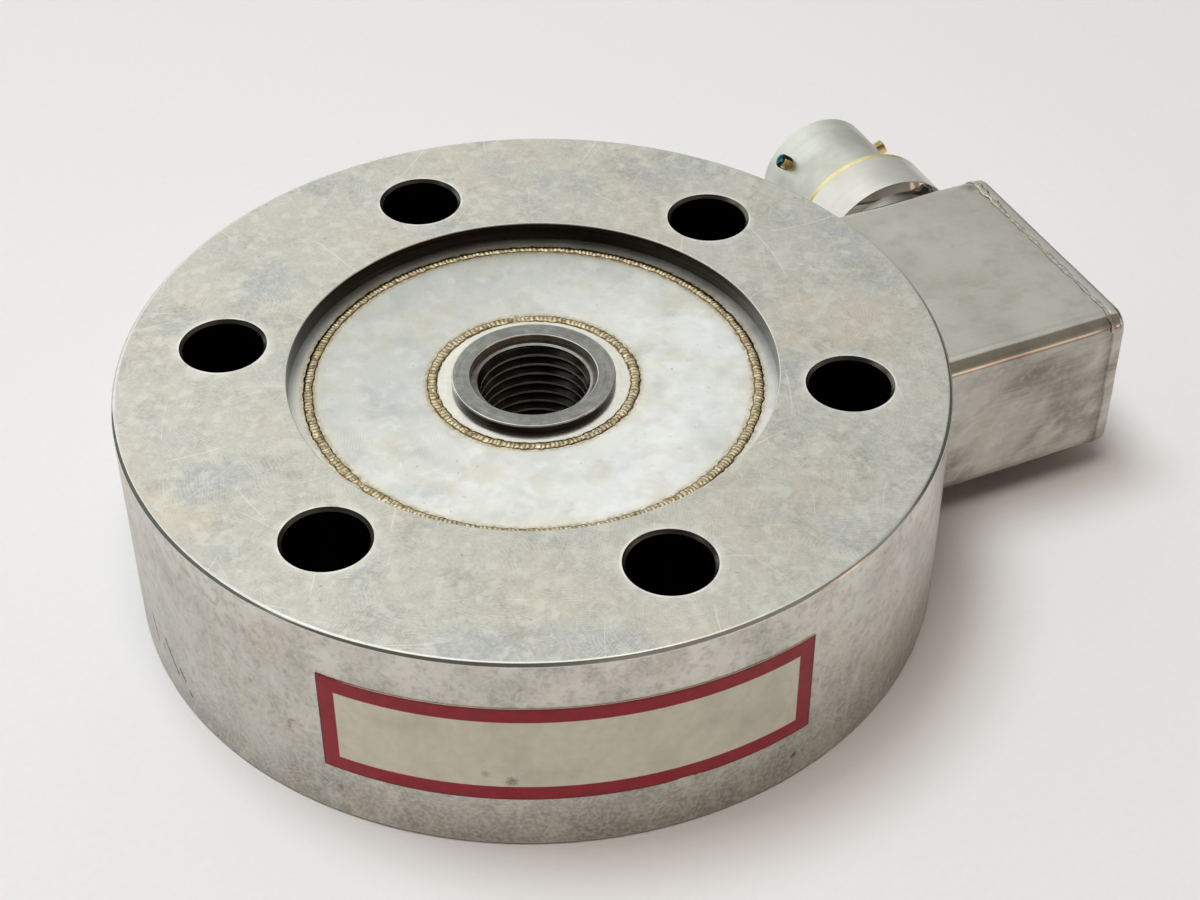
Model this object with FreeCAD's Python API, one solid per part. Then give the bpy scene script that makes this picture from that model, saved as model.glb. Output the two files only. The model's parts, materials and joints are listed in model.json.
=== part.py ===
"""Low-profile flange load cell, in millimetres.

The rim stands on z = 0 with its axis on Z. The connector box points along +X and the connector along +Y.
"""
import FreeCAD, Part
import math
import os

# Rim and its bolt circle
RIM_RADIUS = 44.45
RIM_HEIGHT = 25.4
RIM_EDGE_BREAK = 0.4
BOLT_COUNT = 6
BOLT_CIRCLE_RADIUS = 33.65
BOLT_HOLE_RADIUS = 4.37
FIRST_BOLT_ANGLE = 30.0
RECESS_RADIUS = 26.2
RECESS_DEPTH = 2.2

# Threaded hub in the middle
THREAD_MAJOR_RADIUS = 6.35
MOUTH_RADIUS = 6.83
MOUTH_DEPTH = 0.78
HUB_DROP = 1.27
HUB_BOSS_RADIUS = 8.8
HUB_BODY_RADIUS = 11.4

# Welded covers over the sealed cavity
COVER_INNER_RADIUS = 10.28
COVER_OUTER_RADIUS = 24.72
COVER_THICKNESS = 0.6
BEAD_HALF_WIDTH = 0.62
BEAD_HEIGHT = 0.22

# Cavity, shear webs and wire passage
CAVITY_RADIUS = 23.0
WEB_COUNT = 4
FIRST_WEB_ANGLE = 45.0
WEB_THICKNESS = 4.0
WEB_HEIGHT = 13.4
PASSAGE_RADIUS = 2.5

# Strain gauges and their wiring
GAUGE_SIDE = 5.6
GAUGE_THICKNESS = 0.1
GAUGE_LEAD_WIDTH = 0.4
GAUGE_LEAD_STANDOFF = 0.8
LOOM_SIDES = 16
LOOM_INNER_RADIUS = 21.9
LOOM_OUTER_RADIUS = 22.9
LOOM_HEIGHT = 0.9
TAIL_WIDTH = 0.4
TAIL_CIRCLE_RADIUS = 22.42
STRIP_THICKNESS = 0.8
STRIP_HEIGHT = 4.0
STRIP_START_ANGLE = 10.0
STRIP_SWEEP = 22.0
BRIDGE_LEAD_COUNT = 4
BRIDGE_LEAD_WIDTH = 0.5
BRIDGE_LEAD_PITCH = 0.8
BRIDGE_TURN_X = 20.4
BRIDGE_TURN_STEP = 1.1
BRIDGE_LANDING_X = 48.0
BRIDGE_LANDING_STEP = 1.2

# Rectangular connector box and its end plate
BOX_WIDTH = 31.75
BOX_HEIGHT = 19.05
BOX_WALL = 1.65
BOX_CORNER = 2.2
BOX_END_X = 65.5
END_PLATE_THICKNESS = 1.6
END_PLATE_CHAMFER = 0.5

# Board in the box
PAD_THICKNESS = 0.8
BOARD_THICKNESS = 1.0
BOARD_LENGTH = 15.5
BOARD_WIDTH = 19.0
BOARD_CENTRE_X = 54.25
BOARD_CENTRE_Y = 0.5
PAD_MARGIN = 1.0
RESISTOR_COUNT = 4
RESISTOR_SIZE = (2.0, 3.2, 0.8)
RESISTOR_PITCH = 3.4
RESISTOR_ROW_Y = -6.0

# Round bayonet connector, along +Y
CONNECTOR_X = 55.0
SPIGOT_RADIUS = 7.7
NECK_RADIUS = 8.3
NECK_LENGTH = 1.7
NECK_TAPER = 0.6
ADAPTER_RADIUS = 9.3
ADAPTER_FRONT_Y = 24.6
BRAZE_RING_RADIUS = 9.1
BRAZE_RING_THICKNESS = 0.4
SHELL_SPIGOT_RADIUS = 7.0
SHELL_SPIGOT_LENGTH = 4.0
SHELL_FLANGE_RADIUS = 8.6
SHELL_FLANGE_THICKNESS = 0.7
SHELL_RADIUS = 7.495
SHELL_FRONT_Y = 36.85
SHELL_BORE_RADIUS = 6.1
SHELL_TOP_ANGLE = -90.0
KEYWAY_ANGLES = (0.0, 105.0, 140.0, 215.0, 265.0)
KEYWAY_WIDTH = 1.3
KEYWAY_DEPTH = 0.5
KEYWAY_LENGTH = 7.0
GLASS_THICKNESS = 4.5
GLASS_FRONT_Y = 27.5
BAYONET_PIN_COUNT = 3
BAYONET_PIN_RADIUS = 0.9
BAYONET_PIN_SETBACK = 3.05
BAYONET_FIRST_ANGLE = -53.0
BAYONET_PIN_STAND = 1.2
CONTACT_CIRCLE_RADIUS = 3.3
CONTACT_RING_COUNT = 5
CONTACT_RADIUS = 0.5
CONTACT_REACH = 4.6
CONTACT_REAR_Y = 18.5
CONNECTOR_LEAD_WIDTH = 0.6
CONNECTOR_LANDING_Y = (2.0, 5.0, 8.0, 8.0, 5.0, 5.0)

# Label on the rim
LABEL_LENGTH = 50.8
LABEL_HEIGHT = 12.7
LABEL_THICKNESS = 0.12
LABEL_MIDDLE_ANGLE = -108.3
LABEL_BOTTOM_Z = 6.9

# Heights and places worked out from the sizes above
MIDDLE_Z = RIM_HEIGHT / 2
COVER_TOP_Z = RIM_HEIGHT - RECESS_DEPTH
COVER_SEAT_Z = COVER_TOP_Z - COVER_THICKNESS
HUB_TOP_Z = RIM_HEIGHT - HUB_DROP
WEB_TOP_Z = MIDDLE_Z + WEB_HEIGHT / 2
WEB_MIDDLE_RADIUS = (HUB_BODY_RADIUS + CAVITY_RADIUS) / 2
LOOM_MIDDLE_Z = WEB_TOP_Z + LOOM_HEIGHT / 2
STRIP_RADIUS = CAVITY_RADIUS - STRIP_THICKNESS
BOX_SIDE_Y = BOX_WIDTH / 2
BOX_INNER_Y = BOX_SIDE_Y - BOX_WALL
BOX_FLOOR_Z = MIDDLE_Z - BOX_HEIGHT / 2 + BOX_WALL
TUBE_END_X = BOX_END_X - END_PLATE_THICKNESS
BOARD_TOP_Z = BOX_FLOOR_Z + PAD_THICKNESS + BOARD_THICKNESS
SHELL_SEAT_Y = ADAPTER_FRONT_Y + BRAZE_RING_THICKNESS
SHELL_REAR_Y = SHELL_SEAT_Y - SHELL_SPIGOT_LENGTH
CLEAR = 1.0
SAME_PLACE = 0.01

V = FreeCAD.Vector
X_AXIS = V(1, 0, 0)
Z_AXIS = V(0, 0, 1)


def turned(points):
    """Solid turned about Z from a closed outline of (radius, height) points."""
    outline = Part.makePolygon([V(r, 0, z) for r, z in points + points[:1]])
    return Part.Face(outline).revolve(V(0, 0, 0), Z_AXIS, 360)


def mirrored_outline(upper):
    """Upper half of an outline followed by its mirror image in the middle plane, last point first."""
    return upper + [(r, RIM_HEIGHT - z) for r, z in reversed(upper)]


def at_angle(shape, degrees):
    """Copy of a shape turned about the Z axis."""
    return shape.rotated(V(0, 0, 0), Z_AXIS, degrees)


def polar(radius, degrees, z):
    """Point at a radius and an angle from +X."""
    angle = math.radians(degrees)
    return V(radius * math.cos(angle), radius * math.sin(angle), z)


def on_connector(shape):
    """Moves a shape made about Z onto the connector's axis, with its Z along +Y."""
    rotation = FreeCAD.Rotation(X_AXIS, -90)
    placed = shape.copy()
    placed.Placement = FreeCAD.Placement(V(CONNECTOR_X, 0, MIDDLE_Z), rotation).multiply(placed.Placement)
    return placed


def wall_sector(inner, outer, low_z, height, start_angle, sweep):
    """Piece of a round wall about Z, between two radii and two angles."""
    high_z = low_z + height
    corners = [V(inner, 0, low_z), V(outer, 0, low_z), V(outer, 0, high_z), V(inner, 0, high_z)]
    section = Part.Face(Part.makePolygon(corners + corners[:1]))
    return at_angle(section.revolve(V(0, 0, 0), Z_AXIS, sweep), start_angle)


def box_between(low, high):
    """Box with two opposite corners given."""
    size = high - low
    return Part.makeBox(size.x, size.y, size.z, low)


def rounded_rectangle(width, height, corner, x):
    """Face across the X axis with rounded corners, centred on the box's middle."""
    plate = Part.makeBox(CLEAR, width, height, V(x, -width / 2, MIDDLE_Z - height / 2))
    lengthwise = [e for e in plate.Edges if abs(e.BoundBox.XLength - CLEAR) < SAME_PLACE]
    rounded = plate.makeFillet(corner, lengthwise)
    return next(f for f in rounded.Faces if f.BoundBox.XMax < x + SAME_PLACE)


def square_wire(points, width):
    """Insulated wire of square section along straight runs with mitred corners."""
    start = points[0]
    along = points[1] - start
    side = along.cross(X_AXIS if along.x == along.y == 0 else Z_AXIS).normalize() * (width / 2)
    up = along.cross(side).normalize() * (width / 2)
    corners = [start + side + up, start - side + up, start - side - up, start + side - up]
    section = Part.makePolygon(corners + corners[:1])
    right_corners = 1
    return Part.makePolygon(points).makePipeShell([section], True, False, right_corners)


def rim_ring():
    """Drilled rim with its recess, cover seat and cavity wall, the same above and below."""
    return turned(mirrored_outline([
        (RIM_RADIUS, RIM_HEIGHT - RIM_EDGE_BREAK),
        (RIM_RADIUS - RIM_EDGE_BREAK, RIM_HEIGHT),
        (RECESS_RADIUS, RIM_HEIGHT),
        (RECESS_RADIUS, COVER_TOP_Z),
        (COVER_OUTER_RADIUS, COVER_TOP_Z),
        (COVER_OUTER_RADIUS, COVER_SEAT_Z),
        (CAVITY_RADIUS, COVER_SEAT_Z),
    ]))


def hub():
    """Hub with raised bosses, cover seats and a bore of the thread's major radius."""
    return turned(mirrored_outline([
        (HUB_BODY_RADIUS, COVER_SEAT_Z),
        (COVER_INNER_RADIUS, COVER_SEAT_Z),
        (COVER_INNER_RADIUS, COVER_TOP_Z),
        (HUB_BOSS_RADIUS, COVER_TOP_Z),
        (HUB_BOSS_RADIUS, HUB_TOP_Z),
        (MOUTH_RADIUS, HUB_TOP_Z),
        (MOUTH_RADIUS, HUB_TOP_Z - MOUTH_DEPTH),
        (THREAD_MAJOR_RADIUS, HUB_TOP_Z - MOUTH_DEPTH),
    ]))


def web():
    """Radial shear web along +X between the hub and the rim."""
    low = V(HUB_BODY_RADIUS - CLEAR, -WEB_THICKNESS / 2, WEB_TOP_Z - WEB_HEIGHT)
    high = V(CAVITY_RADIUS + CLEAR, WEB_THICKNESS / 2, WEB_TOP_Z)
    return box_between(low, high)


def bolt_hole():
    """Through hole at the bolt circle on +X."""
    return Part.makeCylinder(BOLT_HOLE_RADIUS, RIM_HEIGHT, V(BOLT_CIRCLE_RADIUS, 0, 0))


def web_angles():
    """Angles of the webs, clear of the wire passage."""
    return [FIRST_WEB_ANGLE + 360 * k / WEB_COUNT for k in range(WEB_COUNT)]


def sensing_element():
    """Rim, webs and hub in one piece, with the bolt holes and the wire passage cut in it."""
    body = rim_ring().multiFuse([hub()] + [at_angle(web(), a) for a in web_angles()]).removeSplitter()
    cuts = [at_angle(bolt_hole(), FIRST_BOLT_ANGLE + 360 * k / BOLT_COUNT) for k in range(BOLT_COUNT)]
    passage_start = V(CAVITY_RADIUS - CLEAR, 0, MIDDLE_Z)
    cuts.append(Part.makeCylinder(PASSAGE_RADIUS, RIM_RADIUS, passage_start, X_AXIS))
    return body.cut(cuts)


def upper_cover():
    """Annular sheet on its seats, with a ridged weld bead along both its edges."""
    crown_z = COVER_TOP_Z + BEAD_HEIGHT
    return turned([
        (COVER_INNER_RADIUS, COVER_SEAT_Z),
        (COVER_OUTER_RADIUS, COVER_SEAT_Z),
        (COVER_OUTER_RADIUS, COVER_TOP_Z),
        (COVER_OUTER_RADIUS - BEAD_HALF_WIDTH, crown_z),
        (COVER_OUTER_RADIUS - 2 * BEAD_HALF_WIDTH, COVER_TOP_Z),
        (COVER_INNER_RADIUS + 2 * BEAD_HALF_WIDTH, COVER_TOP_Z),
        (COVER_INNER_RADIUS + BEAD_HALF_WIDTH, crown_z),
        (COVER_INNER_RADIUS, COVER_TOP_Z),
    ])


def lower_cover():
    """The same sheet, turned over for the underside."""
    return upper_cover().mirror(V(0, 0, MIDDLE_Z), Z_AXIS)


def strain_gauge(side):
    """Foil gauge bonded to one side of the web along +X."""
    face_y = WEB_THICKNESS / 2
    low_y = face_y if side > 0 else -face_y - GAUGE_THICKNESS
    corner = V(WEB_MIDDLE_RADIUS - GAUGE_SIDE / 2, low_y, MIDDLE_Z - GAUGE_SIDE / 2)
    return Part.makeBox(GAUGE_SIDE, GAUGE_THICKNESS, GAUGE_SIDE, corner)


def gauge_lead(side, loom):
    """Lead bundle from a gauge on the web along +X, up beside the web and into the loom."""
    start_y = WEB_THICKNESS / 2 + GAUGE_THICKNESS
    run_y = WEB_THICKNESS / 2 + GAUGE_LEAD_STANDOFF
    x = WEB_MIDDLE_RADIUS + GAUGE_SIDE / 4
    z = MIDDLE_Z + GAUGE_SIDE / 4
    points = [
        V(x, side * start_y, z),
        V(x, side * run_y, z),
        V(x, side * run_y, LOOM_MIDDLE_Z),
        V(LOOM_INNER_RADIUS, side * run_y, LOOM_MIDDLE_Z),
    ]
    return square_wire(points, GAUGE_LEAD_WIDTH).cut(loom)


def strip_angles():
    """Angles of the solder tabs on the terminal strip."""
    step = STRIP_SWEEP / (BRIDGE_LEAD_COUNT + 1)
    return [STRIP_START_ANGLE + step * (k + 1) for k in range(BRIDGE_LEAD_COUNT)]


def loom_outline(radius):
    """Many-sided face on the webs' top, with one corner over each web."""
    corners = [polar(radius, FIRST_WEB_ANGLE + 360 * k / LOOM_SIDES, WEB_TOP_Z) for k in range(LOOM_SIDES)]
    return Part.Face(Part.makePolygon(corners + corners[:1]))


def loom_tail(angle):
    """Short drop from the loom to a tab on the terminal strip's upper edge."""
    foot_z = MIDDLE_Z + STRIP_HEIGHT / 2
    half = TAIL_WIDTH / 2
    low = V(TAIL_CIRCLE_RADIUS - half / 2, -half, foot_z)
    high = V(TAIL_CIRCLE_RADIUS + half / 2, half, WEB_TOP_Z)
    return at_angle(box_between(low, high), angle)


def gauge_loom():
    """Ring of wires laid on the webs in short runs, with a tail down to each tab of the terminal strip."""
    ring = loom_outline(LOOM_OUTER_RADIUS).cut(loom_outline(LOOM_INNER_RADIUS)).extrude(V(0, 0, LOOM_HEIGHT))
    return ring.multiFuse([loom_tail(angle) for angle in strip_angles()])


def terminal_strip():
    """Curved strip bonded to the cavity wall beside the wire passage."""
    low_z = MIDDLE_Z - STRIP_HEIGHT / 2
    return wall_sector(STRIP_RADIUS, CAVITY_RADIUS, low_z, STRIP_HEIGHT, STRIP_START_ANGLE, STRIP_SWEEP)


def bridge_lead(index):
    """Wire from a tab of the strip, through the rim's passage, down to the board."""
    angle = strip_angles()[index]
    turn_x = BRIDGE_TURN_X - BRIDGE_TURN_STEP * index
    y = BRIDGE_LEAD_PITCH * ((BRIDGE_LEAD_COUNT - 1) / 2 - index)
    landing_x = BRIDGE_LANDING_X + BRIDGE_LANDING_STEP * index
    points = [
        polar(STRIP_RADIUS + STRIP_THICKNESS / 2, angle, MIDDLE_Z),
        polar(turn_x / math.cos(math.radians(angle)), angle, MIDDLE_Z),
        V(turn_x, y, MIDDLE_Z),
        V(landing_x, y, MIDDLE_Z),
        V(landing_x, y, BOARD_TOP_Z),
    ]
    return square_wire(points, BRIDGE_LEAD_WIDTH).cut(terminal_strip())


def connector_box():
    """Rectangular tube with a saddle cut that fits the rim and a hole for the connector's spigot."""
    outer = rounded_rectangle(BOX_WIDTH, BOX_HEIGHT, BOX_CORNER, 0)
    inner = rounded_rectangle(BOX_WIDTH - 2 * BOX_WALL, BOX_HEIGHT - 2 * BOX_WALL, BOX_CORNER - BOX_WALL, 0)
    length = V(TUBE_END_X, 0, 0)
    tube = outer.extrude(length).cut(inner.extrude(length))
    rim = Part.makeCylinder(RIM_RADIUS, RIM_HEIGHT)
    hole = Part.makeCylinder(SPIGOT_RADIUS, BOX_WALL + 2 * CLEAR, V(0, 0, BOX_INNER_Y - CLEAR))
    return tube.cut([rim, on_connector(hole)])


def box_end_plate():
    """Plate over the tube's end, with its outer edge dressed off after welding."""
    plate = rounded_rectangle(BOX_WIDTH, BOX_HEIGHT, BOX_CORNER, TUBE_END_X)
    plate = plate.extrude(V(END_PLATE_THICKNESS, 0, 0))
    edges = [e for e in plate.Edges if e.BoundBox.XMin > BOX_END_X - SAME_PLACE]
    return plate.makeChamfer(END_PLATE_CHAMFER, edges)


def board_layer(z, thickness, margin):
    """Rectangular sheet in the box, drawn in by a margin from the board's outline."""
    length = BOARD_LENGTH - 2 * margin
    width = BOARD_WIDTH - 2 * margin
    corner = V(BOARD_CENTRE_X - length / 2, BOARD_CENTRE_Y - width / 2, z)
    return Part.makeBox(length, width, thickness, corner)


def trim_resistor(index):
    """Chip resistor standing in a row on the board."""
    length_x, length_y, height = RESISTOR_SIZE
    x = BOARD_CENTRE_X + RESISTOR_PITCH * (index - (RESISTOR_COUNT - 1) / 2)
    corner = V(x - length_x / 2, RESISTOR_ROW_Y - length_y / 2, BOARD_TOP_Z)
    return Part.makeBox(length_x, length_y, height, corner)


def connector_adapter():
    """Sleeve with a spigot in the box's wall, a waisted neck and a bore for the shell's spigot."""
    taper_y = BOX_SIDE_Y + NECK_LENGTH
    return on_connector(turned([
        (SHELL_SPIGOT_RADIUS, BOX_INNER_Y),
        (SPIGOT_RADIUS, BOX_INNER_Y),
        (SPIGOT_RADIUS, BOX_SIDE_Y),
        (NECK_RADIUS, BOX_SIDE_Y),
        (NECK_RADIUS, taper_y),
        (ADAPTER_RADIUS, taper_y + NECK_TAPER),
        (ADAPTER_RADIUS, ADAPTER_FRONT_Y),
        (SHELL_SPIGOT_RADIUS, ADAPTER_FRONT_Y),
    ]))


def braze_ring():
    """Thin ring between the adapter's face and the shell's flange."""
    return on_connector(turned([
        (SHELL_SPIGOT_RADIUS, ADAPTER_FRONT_Y),
        (BRAZE_RING_RADIUS, ADAPTER_FRONT_Y),
        (BRAZE_RING_RADIUS, SHELL_SEAT_Y),
        (SHELL_SPIGOT_RADIUS, SHELL_SEAT_Y),
    ]))


def keyway(angle):
    """Groove in the shell's bore, open at the front face."""
    depth_radius = SHELL_BORE_RADIUS + KEYWAY_DEPTH
    low = V(SHELL_BORE_RADIUS - CLEAR, -KEYWAY_WIDTH / 2, SHELL_FRONT_Y - KEYWAY_LENGTH)
    high = V(depth_radius, KEYWAY_WIDTH / 2, SHELL_FRONT_Y + CLEAR)
    return at_angle(box_between(low, high), angle)


def receptacle_shell():
    """Bayonet shell with a locating spigot, a flange and five keyways."""
    shell = turned([
        (SHELL_BORE_RADIUS, SHELL_REAR_Y),
        (SHELL_SPIGOT_RADIUS, SHELL_REAR_Y),
        (SHELL_SPIGOT_RADIUS, SHELL_SEAT_Y),
        (SHELL_FLANGE_RADIUS, SHELL_SEAT_Y),
        (SHELL_FLANGE_RADIUS, SHELL_SEAT_Y + SHELL_FLANGE_THICKNESS),
        (SHELL_RADIUS, SHELL_SEAT_Y + SHELL_FLANGE_THICKNESS),
        (SHELL_RADIUS, SHELL_FRONT_Y),
        (SHELL_BORE_RADIUS, SHELL_FRONT_Y),
    ])
    return on_connector(shell.cut([keyway(SHELL_TOP_ANGLE + angle) for angle in KEYWAY_ANGLES]))


def bayonet_pin(index):
    """Brass pin that stands out of the shell, with its foot shaped to the shell's wall."""
    reach = SHELL_RADIUS + BAYONET_PIN_STAND
    pin = Part.makeCylinder(BAYONET_PIN_RADIUS, reach, V(0, 0, SHELL_FRONT_Y - BAYONET_PIN_SETBACK), X_AXIS)
    from_top = BAYONET_FIRST_ANGLE + 360 * index / BAYONET_PIN_COUNT
    wall = Part.makeCylinder(SHELL_RADIUS, SHELL_FRONT_Y)
    return on_connector(at_angle(pin.cut(wall), SHELL_TOP_ANGLE + from_top))


def contact_places():
    """Contacts in the shell's own plan: a ring that starts at the top, then one in the middle."""
    step = 360 / CONTACT_RING_COUNT
    ring = [polar(CONTACT_CIRCLE_RADIUS, SHELL_TOP_ANGLE + step * k, 0) for k in range(CONTACT_RING_COUNT)]
    return ring + [V(0, 0, 0)]


def glass_seal():
    """Glass disc that fills the shell's bore, pierced by the contacts."""
    rear = V(0, 0, GLASS_FRONT_Y - GLASS_THICKNESS)
    disc = Part.makeCylinder(SHELL_BORE_RADIUS, GLASS_THICKNESS, rear)
    holes = [Part.makeCylinder(CONTACT_RADIUS, GLASS_THICKNESS, place + rear) for place in contact_places()]
    return on_connector(disc.cut(holes))


def contact_pin(index):
    """Round contact through the glass, standing free in the socket."""
    rear = contact_places()[index] + V(0, 0, CONTACT_REAR_Y)
    length = GLASS_FRONT_Y + CONTACT_REACH - CONTACT_REAR_Y
    return on_connector(Part.makeCylinder(CONTACT_RADIUS, length, rear))


def connector_lead(index):
    """Wire from a contact's rear end into the box and down to the board."""
    place = contact_places()[index]
    x = CONNECTOR_X + place.x
    z = MIDDLE_Z - place.y
    landing_y = CONNECTOR_LANDING_Y[index]
    points = [V(x, CONTACT_REAR_Y, z), V(x, landing_y, z), V(x, landing_y, BOARD_TOP_Z)]
    return square_wire(points, CONNECTOR_LEAD_WIDTH)


def label():
    """Thin label wrapped on the rim's outer wall."""
    sweep = math.degrees(LABEL_LENGTH / RIM_RADIUS)
    start_angle = LABEL_MIDDLE_ANGLE - sweep / 2
    outer = RIM_RADIUS + LABEL_THICKNESS
    return wall_sector(RIM_RADIUS, outer, LABEL_BOTTOM_Z, LABEL_HEIGHT, start_angle, sweep)


def all_parts():
    """Every sub-part by its name."""
    loom = gauge_loom()
    parts = {
        "sensing_element": sensing_element(),
        "upper_cover": upper_cover(),
        "lower_cover": lower_cover(),
        "gauge_loom": loom,
        "terminal_strip": terminal_strip(),
        "connector_box": connector_box(),
        "box_end_plate": box_end_plate(),
        "board_pad": board_layer(BOX_FLOOR_Z, PAD_THICKNESS, PAD_MARGIN),
        "compensation_board": board_layer(BOX_FLOOR_Z + PAD_THICKNESS, BOARD_THICKNESS, 0),
        "connector_adapter": connector_adapter(),
        "braze_ring": braze_ring(),
        "receptacle_shell": receptacle_shell(),
        "glass_seal": glass_seal(),
        "label": label(),
    }
    gauge_places = [(angle, side) for angle in web_angles() for side in (1, -1)]
    for k, (angle, side) in enumerate(gauge_places, 1):
        parts[f"strain_gauge_{k}"] = at_angle(strain_gauge(side), angle)
        parts[f"gauge_lead_{k}"] = at_angle(gauge_lead(side, at_angle(loom, -angle)), angle)
    for k in range(BRIDGE_LEAD_COUNT):
        parts[f"bridge_lead_{k + 1}"] = bridge_lead(k)
    for k in range(RESISTOR_COUNT):
        parts[f"trim_resistor_{k + 1}"] = trim_resistor(k)
    for k in range(BAYONET_PIN_COUNT):
        parts[f"bayonet_pin_{k + 1}"] = bayonet_pin(k)
    for k in range(CONTACT_RING_COUNT + 1):
        parts[f"contact_pin_{k + 1}"] = contact_pin(k)
        parts[f"connector_lead_{k + 1}"] = connector_lead(k)
    return parts


os.makedirs("parts", exist_ok=True)
for name, shape in all_parts().items():
    shape.exportStep(f"parts/{name}.step")
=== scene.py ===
"""Weighing load cell: the visible pieces of a low-profile flange load cell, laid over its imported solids."""
import json
import math

import bmesh
import bpy
from bpy.props import FloatProperty, FloatVectorProperty, IntProperty, PointerProperty
from mathutils import Matrix, Vector, noise


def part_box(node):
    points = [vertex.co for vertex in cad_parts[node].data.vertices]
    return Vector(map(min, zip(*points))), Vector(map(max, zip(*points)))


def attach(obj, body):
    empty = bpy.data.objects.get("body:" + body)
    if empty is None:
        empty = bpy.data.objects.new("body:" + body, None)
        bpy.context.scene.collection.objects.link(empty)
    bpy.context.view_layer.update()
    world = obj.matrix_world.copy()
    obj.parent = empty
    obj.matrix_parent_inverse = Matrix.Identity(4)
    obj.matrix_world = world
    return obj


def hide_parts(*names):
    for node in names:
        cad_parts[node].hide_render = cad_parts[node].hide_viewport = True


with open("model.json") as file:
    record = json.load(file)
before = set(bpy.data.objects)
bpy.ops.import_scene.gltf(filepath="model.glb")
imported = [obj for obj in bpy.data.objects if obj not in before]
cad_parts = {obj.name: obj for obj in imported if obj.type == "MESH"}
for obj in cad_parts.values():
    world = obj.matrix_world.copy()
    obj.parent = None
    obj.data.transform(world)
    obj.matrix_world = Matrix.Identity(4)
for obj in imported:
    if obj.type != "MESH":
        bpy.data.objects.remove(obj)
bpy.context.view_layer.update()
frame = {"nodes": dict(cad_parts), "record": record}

bl_info = {
    "name": "Weighing Load Cell",
    "version": (1, 0, 0),
    "blender": (4, 5, 0),
    "location": "View3D > Sidebar > Load Cell",
    "description": "Builds the visible pieces of a flange load cell over its packed solids",
    "category": "Add Mesh",
}

MM = 0.001
NODES = frame["nodes"]
MOUNTS = {mount["name"]: mount["dims"] for mount in frame["record"]["mounts"]}
BOLTS = MOUNTS["flange_bolts"]
RIM_LOW, RIM_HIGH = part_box("sensing_element")
COVER_LOW, COVER_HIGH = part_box("upper_cover")
BOX_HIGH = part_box("connector_box")[1]
PLATE_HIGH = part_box("box_end_plate")[1]
ADAPTER_LOW, ADAPTER_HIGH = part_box("connector_adapter")
BRAZE_LOW, BRAZE_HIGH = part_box("braze_ring")
SHELL_LOW, SHELL_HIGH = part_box("receptacle_shell")
LABEL_LOW, LABEL_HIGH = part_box("label")
MIDDLE_Z = (RIM_LOW.z + RIM_HIGH.z) / 2
CONNECTOR_X = (SHELL_LOW.x + SHELL_HIGH.x) / 2

# Kinds of node that come often; the word after a kind is its operation.
MATH = "ShaderNodeMath"
MULTIPLY = MATH + " MULTIPLY"
MULTIPLY_ADD = MATH + " MULTIPLY_ADD"
SUBTRACT = MATH + " SUBTRACT"
ABSOLUTE = MATH + " ABSOLUTE"
VECTOR = "ShaderNodeVectorMath"
SCALE = VECTOR + " SCALE"
STRETCH = VECTOR + " MULTIPLY"
DOT = VECTOR + " DOT_PRODUCT"
SEPARATE = "ShaderNodeSeparateXYZ"
COMBINE = "ShaderNodeCombineXYZ"
ROTATE = "ShaderNodeVectorRotate"
NOISE = "ShaderNodeTexNoise"
RANGE = "ShaderNodeMapRange"
MIX = "ShaderNodeMix"
CAPTURE = "GeometryNodeCaptureAttribute"
POSITION = "GeometryNodeInputPosition"
TRANSFORM = "GeometryNodeTransform"
INSTANCES = "GeometryNodeInstanceOnPoints"

# Directions on the table as the camera sees them.
LEFT, AWAY = Vector((-0.911, 0.412, 0.0)), Vector((0.412, 0.911, 0.0))
# Smallest gap or overlap between two surfaces, and the distance under which points are one.
HAIR, MERGE = 0.02 * MM, 1e-7
# Angles along a quarter round.
QUARTER = [math.radians(15 * k) for k in range(7)]


def linear(code):
    """Linear red, green, blue and alpha of an sRGB hex colour."""
    values = [int(code[k:k + 2], 16) / 255 for k in (0, 2, 4)]
    return [*(v / 12.92 if v <= 0.04045 else ((v + 0.055) / 1.055) ** 2.4 for v in values), 1.0]


def length(name, description, millimetres):
    """Length property with its default in millimetres."""
    return FloatProperty(name=name, description=description, default=millimetres * MM, unit="LENGTH",
                         subtype="DISTANCE", precision=5)


def colour(name, description, code):
    """Colour property with its default as sRGB hex."""
    return FloatVectorProperty(name=name, description=description, default=linear(code), size=4,
                               subtype="COLOR", min=0.0, max=1.0)


class RimSettings(bpy.types.PropertyGroup):
    """Sizes of the rim, its holes and the webs inside it."""
    radius: length("Rim radius", "Outer radius of the rim", RIM_HIGH.x / MM)
    height: length("Rim height", "Height between the two lapped faces", RIM_HIGH.z / MM)
    edge_break: length("Edge break", "Bevel along the rim's outer edges", 0.3)
    recess_radius: length("Recess radius", "Radius of the recess above the cover", 26.2)
    recess_break: length("Recess break", "Rounding along the recess's edge", 0.12)
    bolt_circle: length("Bolt circle radius", "Radius that the bolt holes stand on", BOLTS["pcd_mm"] / 2)
    bolt_count: IntProperty(name="Bolt holes", description="Number of bolt holes", default=BOLTS["count"], min=1)
    first_bolt: FloatProperty(name="First bolt angle", description="Angle of the first bolt hole from the box",
                              default=math.radians(30), subtype="ANGLE")
    hole_radius: length("Hole radius", "Radius of each bolt hole", BOLTS["hole_r_mm"])
    hole_break: length("Hole break", "Bevel round each end of a bolt hole", 0.35)
    cavity_radius: length("Cavity radius", "Radius of the sealed cavity", 23.0)
    web_count: IntProperty(name="Webs", description="Shear webs between hub and rim", default=4, min=1)
    web_thickness: length("Web thickness", "Thickness of each shear web", 4.0)
    web_height: length("Web height", "Height of each shear web", 13.4)
    passage_radius: length("Passage radius", "Radius of the wire passage to the box", 2.5)
    facets: IntProperty(name="Facets", description="Facets round the turned body", default=240, min=24)


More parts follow.
